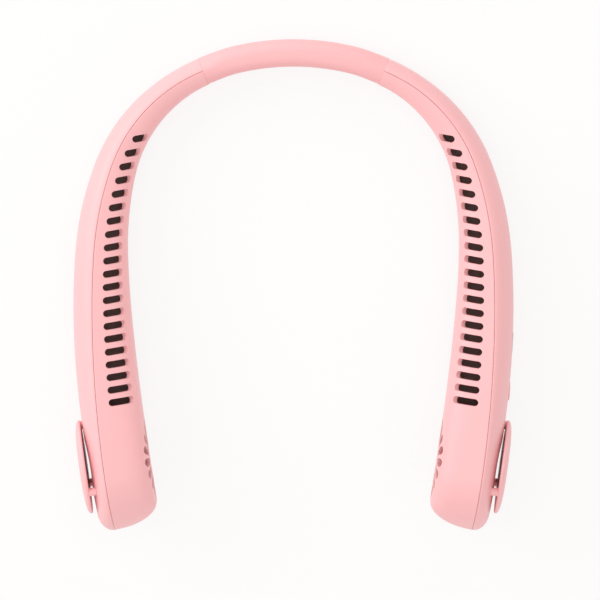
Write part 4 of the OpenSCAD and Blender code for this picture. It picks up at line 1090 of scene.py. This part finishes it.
# Spring strip: cold-rolled spring steel along the whole band, its edges rounded by the rolling.
spring_steel = metal("spring_steel_rolled", "#b0b3b8", 0.25, 0.2, Vector((0, 0, 1)))
half = ((1, 3.8), (0.5, 4), (-0.5, 4), (-1, 3.8))
edge = [(1.4 + 0.3 * t * p, BAND_H / 2 + t * q) for t in (1, -1) for p, q in half]
strip = swept("right_spring_half", edge, edge, BAND_TURN + STRIP_REACH / BAND_R, 1, spring_steel)
put_bending(strip, "steel", "band_spring")

# Cable between the arms: stranded copper in a round grey-black PVC jacket.
jacket = moulded("cable_pvc_jacket", "#3a3133", 0.45, 0.3, 0.01, IOR=1.53)
arc = circle(24)
round_section = [(-2.4 + 1.1 * math.cos(a), BAND_H / 2 + 1.1 * math.sin(a)) for a in arc]
cable_end = BAND_TURN + CABLE_REACH / BAND_R
cable = swept("right_cable_half", round_section, round_section, cable_end, 1, jacket)
put_bending(cable, "dark_abs", "band_cable")

# Band plugs: a dark ABS block glued into the start of each arm, slotted for the spring strip and bored
# for the cable. The modelled solid is the real shape, so it stays and takes the dark ABS.
for side in ("left", "right"):
    plug = nodes[f"{side}_band_plug"].data
    plug.materials.clear()
    plug.materials.append(dark_abs)

# Floor, light and camera. A white paper floor keeps a faint shadow, and goes on as far as the camera
# sees. The main softbox stands at the upper left, as in the photograph, and three weak ones above,
# behind and in front keep its shadows open.

FLOOR_HALF = 12
PAPER_GLOW = 0.82  # share of white in what the camera sees of the paper
floor_mesh = bpy.data.meshes.new("floor")
corners = [(x * FLOOR_HALF, y * FLOOR_HALF, 0) for x, y in ((-1, -1), (1, -1), (1, 1), (-1, 1))]
floor_mesh.from_pydata(corners, [], [(0, 1, 2, 3)])
floor = in_scene("floor", floor_mesh)
floor.location.z = -0.0002
paper, tree, place = new_material("paper_white")
rays = add(tree, "ShaderNodeLightPath")
seen = add(tree, math_node, rays["Is Camera Ray"], rays["Is Glossy Ray"], operation="MAXIMUM")[0]
seen = add(tree, math_node, seen, rays["Is Transmission Ray"], operation="MAXIMUM")[0]
share = add(tree, math_node, seen, PAPER_GLOW, operation="MULTIPLY")[0]
matt = add(tree, "ShaderNodeBsdfDiffuse", {"Color": linear("#f4f2f1")})[0]
glow = add(tree, "ShaderNodeEmission", {"Color": (1, 1, 1, 1), "Strength": 1.0})[0]
mixed = add(tree, "ShaderNodeMixShader", share, matt, glow)[0]
add(tree, "ShaderNodeOutputMaterial", mixed)
floor_mesh.materials.append(paper)

world = bpy.data.worlds.new("studio")
bpy.context.scene.world = world
world.use_nodes = True
tree = world.node_tree
tree.nodes.clear()
rays = add(tree, "ShaderNodeLightPath")
seen = add(tree, math_node, rays["Is Camera Ray"], rays["Is Transmission Ray"], operation="MAXIMUM")[0]
soft = add(tree, "ShaderNodeBackground", {"Color": linear("#fdf8f6"), "Strength": 0.72})[0]
white = add(tree, "ShaderNodeBackground", {"Color": (1, 1, 1, 1), "Strength": 1.0})[0]
mixed = add(tree, "ShaderNodeMixShader", seen, soft, white)[0]
add(tree, "ShaderNodeOutputWorld", mixed)


def softbox(name, place, width, power, colour="#ffffff"):
    """A square soft light aimed at the fan."""
    light = bpy.data.lights.new(name, "AREA")
    light.shape, light.size = "SQUARE", width
    light.energy, light.color = power, linear(colour)[:3]
    obj = in_scene(name, light)
    obj.location = place
    obj.rotation_mode = "QUATERNION"
    obj.rotation_quaternion = (Vector((0, 0, 0.02)) - Vector(place)).to_track_quat("-Z", "Y")


softbox("key", (-1.05, 0.6, 0.6), 1.2, 9.5)
softbox("top", (0, 0, 1.3), 1.0, 2.6)
softbox("back", (0.2, 1.1, 0.4), 1.0, 2.2)
softbox("fill", (0.3, -1.0, 0.5), 1.0, 1.5)

camera = in_scene("camera", bpy.data.cameras.new("camera"))
bpy.context.scene.camera = camera
LEAN, DISTANCE, SENSOR, VIEW_W = math.radians(7), 8.0, 36, 0.258  # the view's width is at the fan
aim, back = Vector((0.0028, -0.00628, 0.02)), Vector((0, math.sin(LEAN), math.cos(LEAN)))
camera.location = aim + back * DISTANCE
camera.rotation_mode = "QUATERNION"
right = Vector((1, 0, 0))
camera.rotation_quaternion = Matrix((right, back.cross(right), back)).transposed().to_quaternion()
camera.data.sensor_width = SENSOR
camera.data.lens = SENSOR * DISTANCE / VIEW_W
camera.data.clip_start, camera.data.clip_end = 0.1, 50
bpy.context.scene.view_settings.view_transform = "Standard"
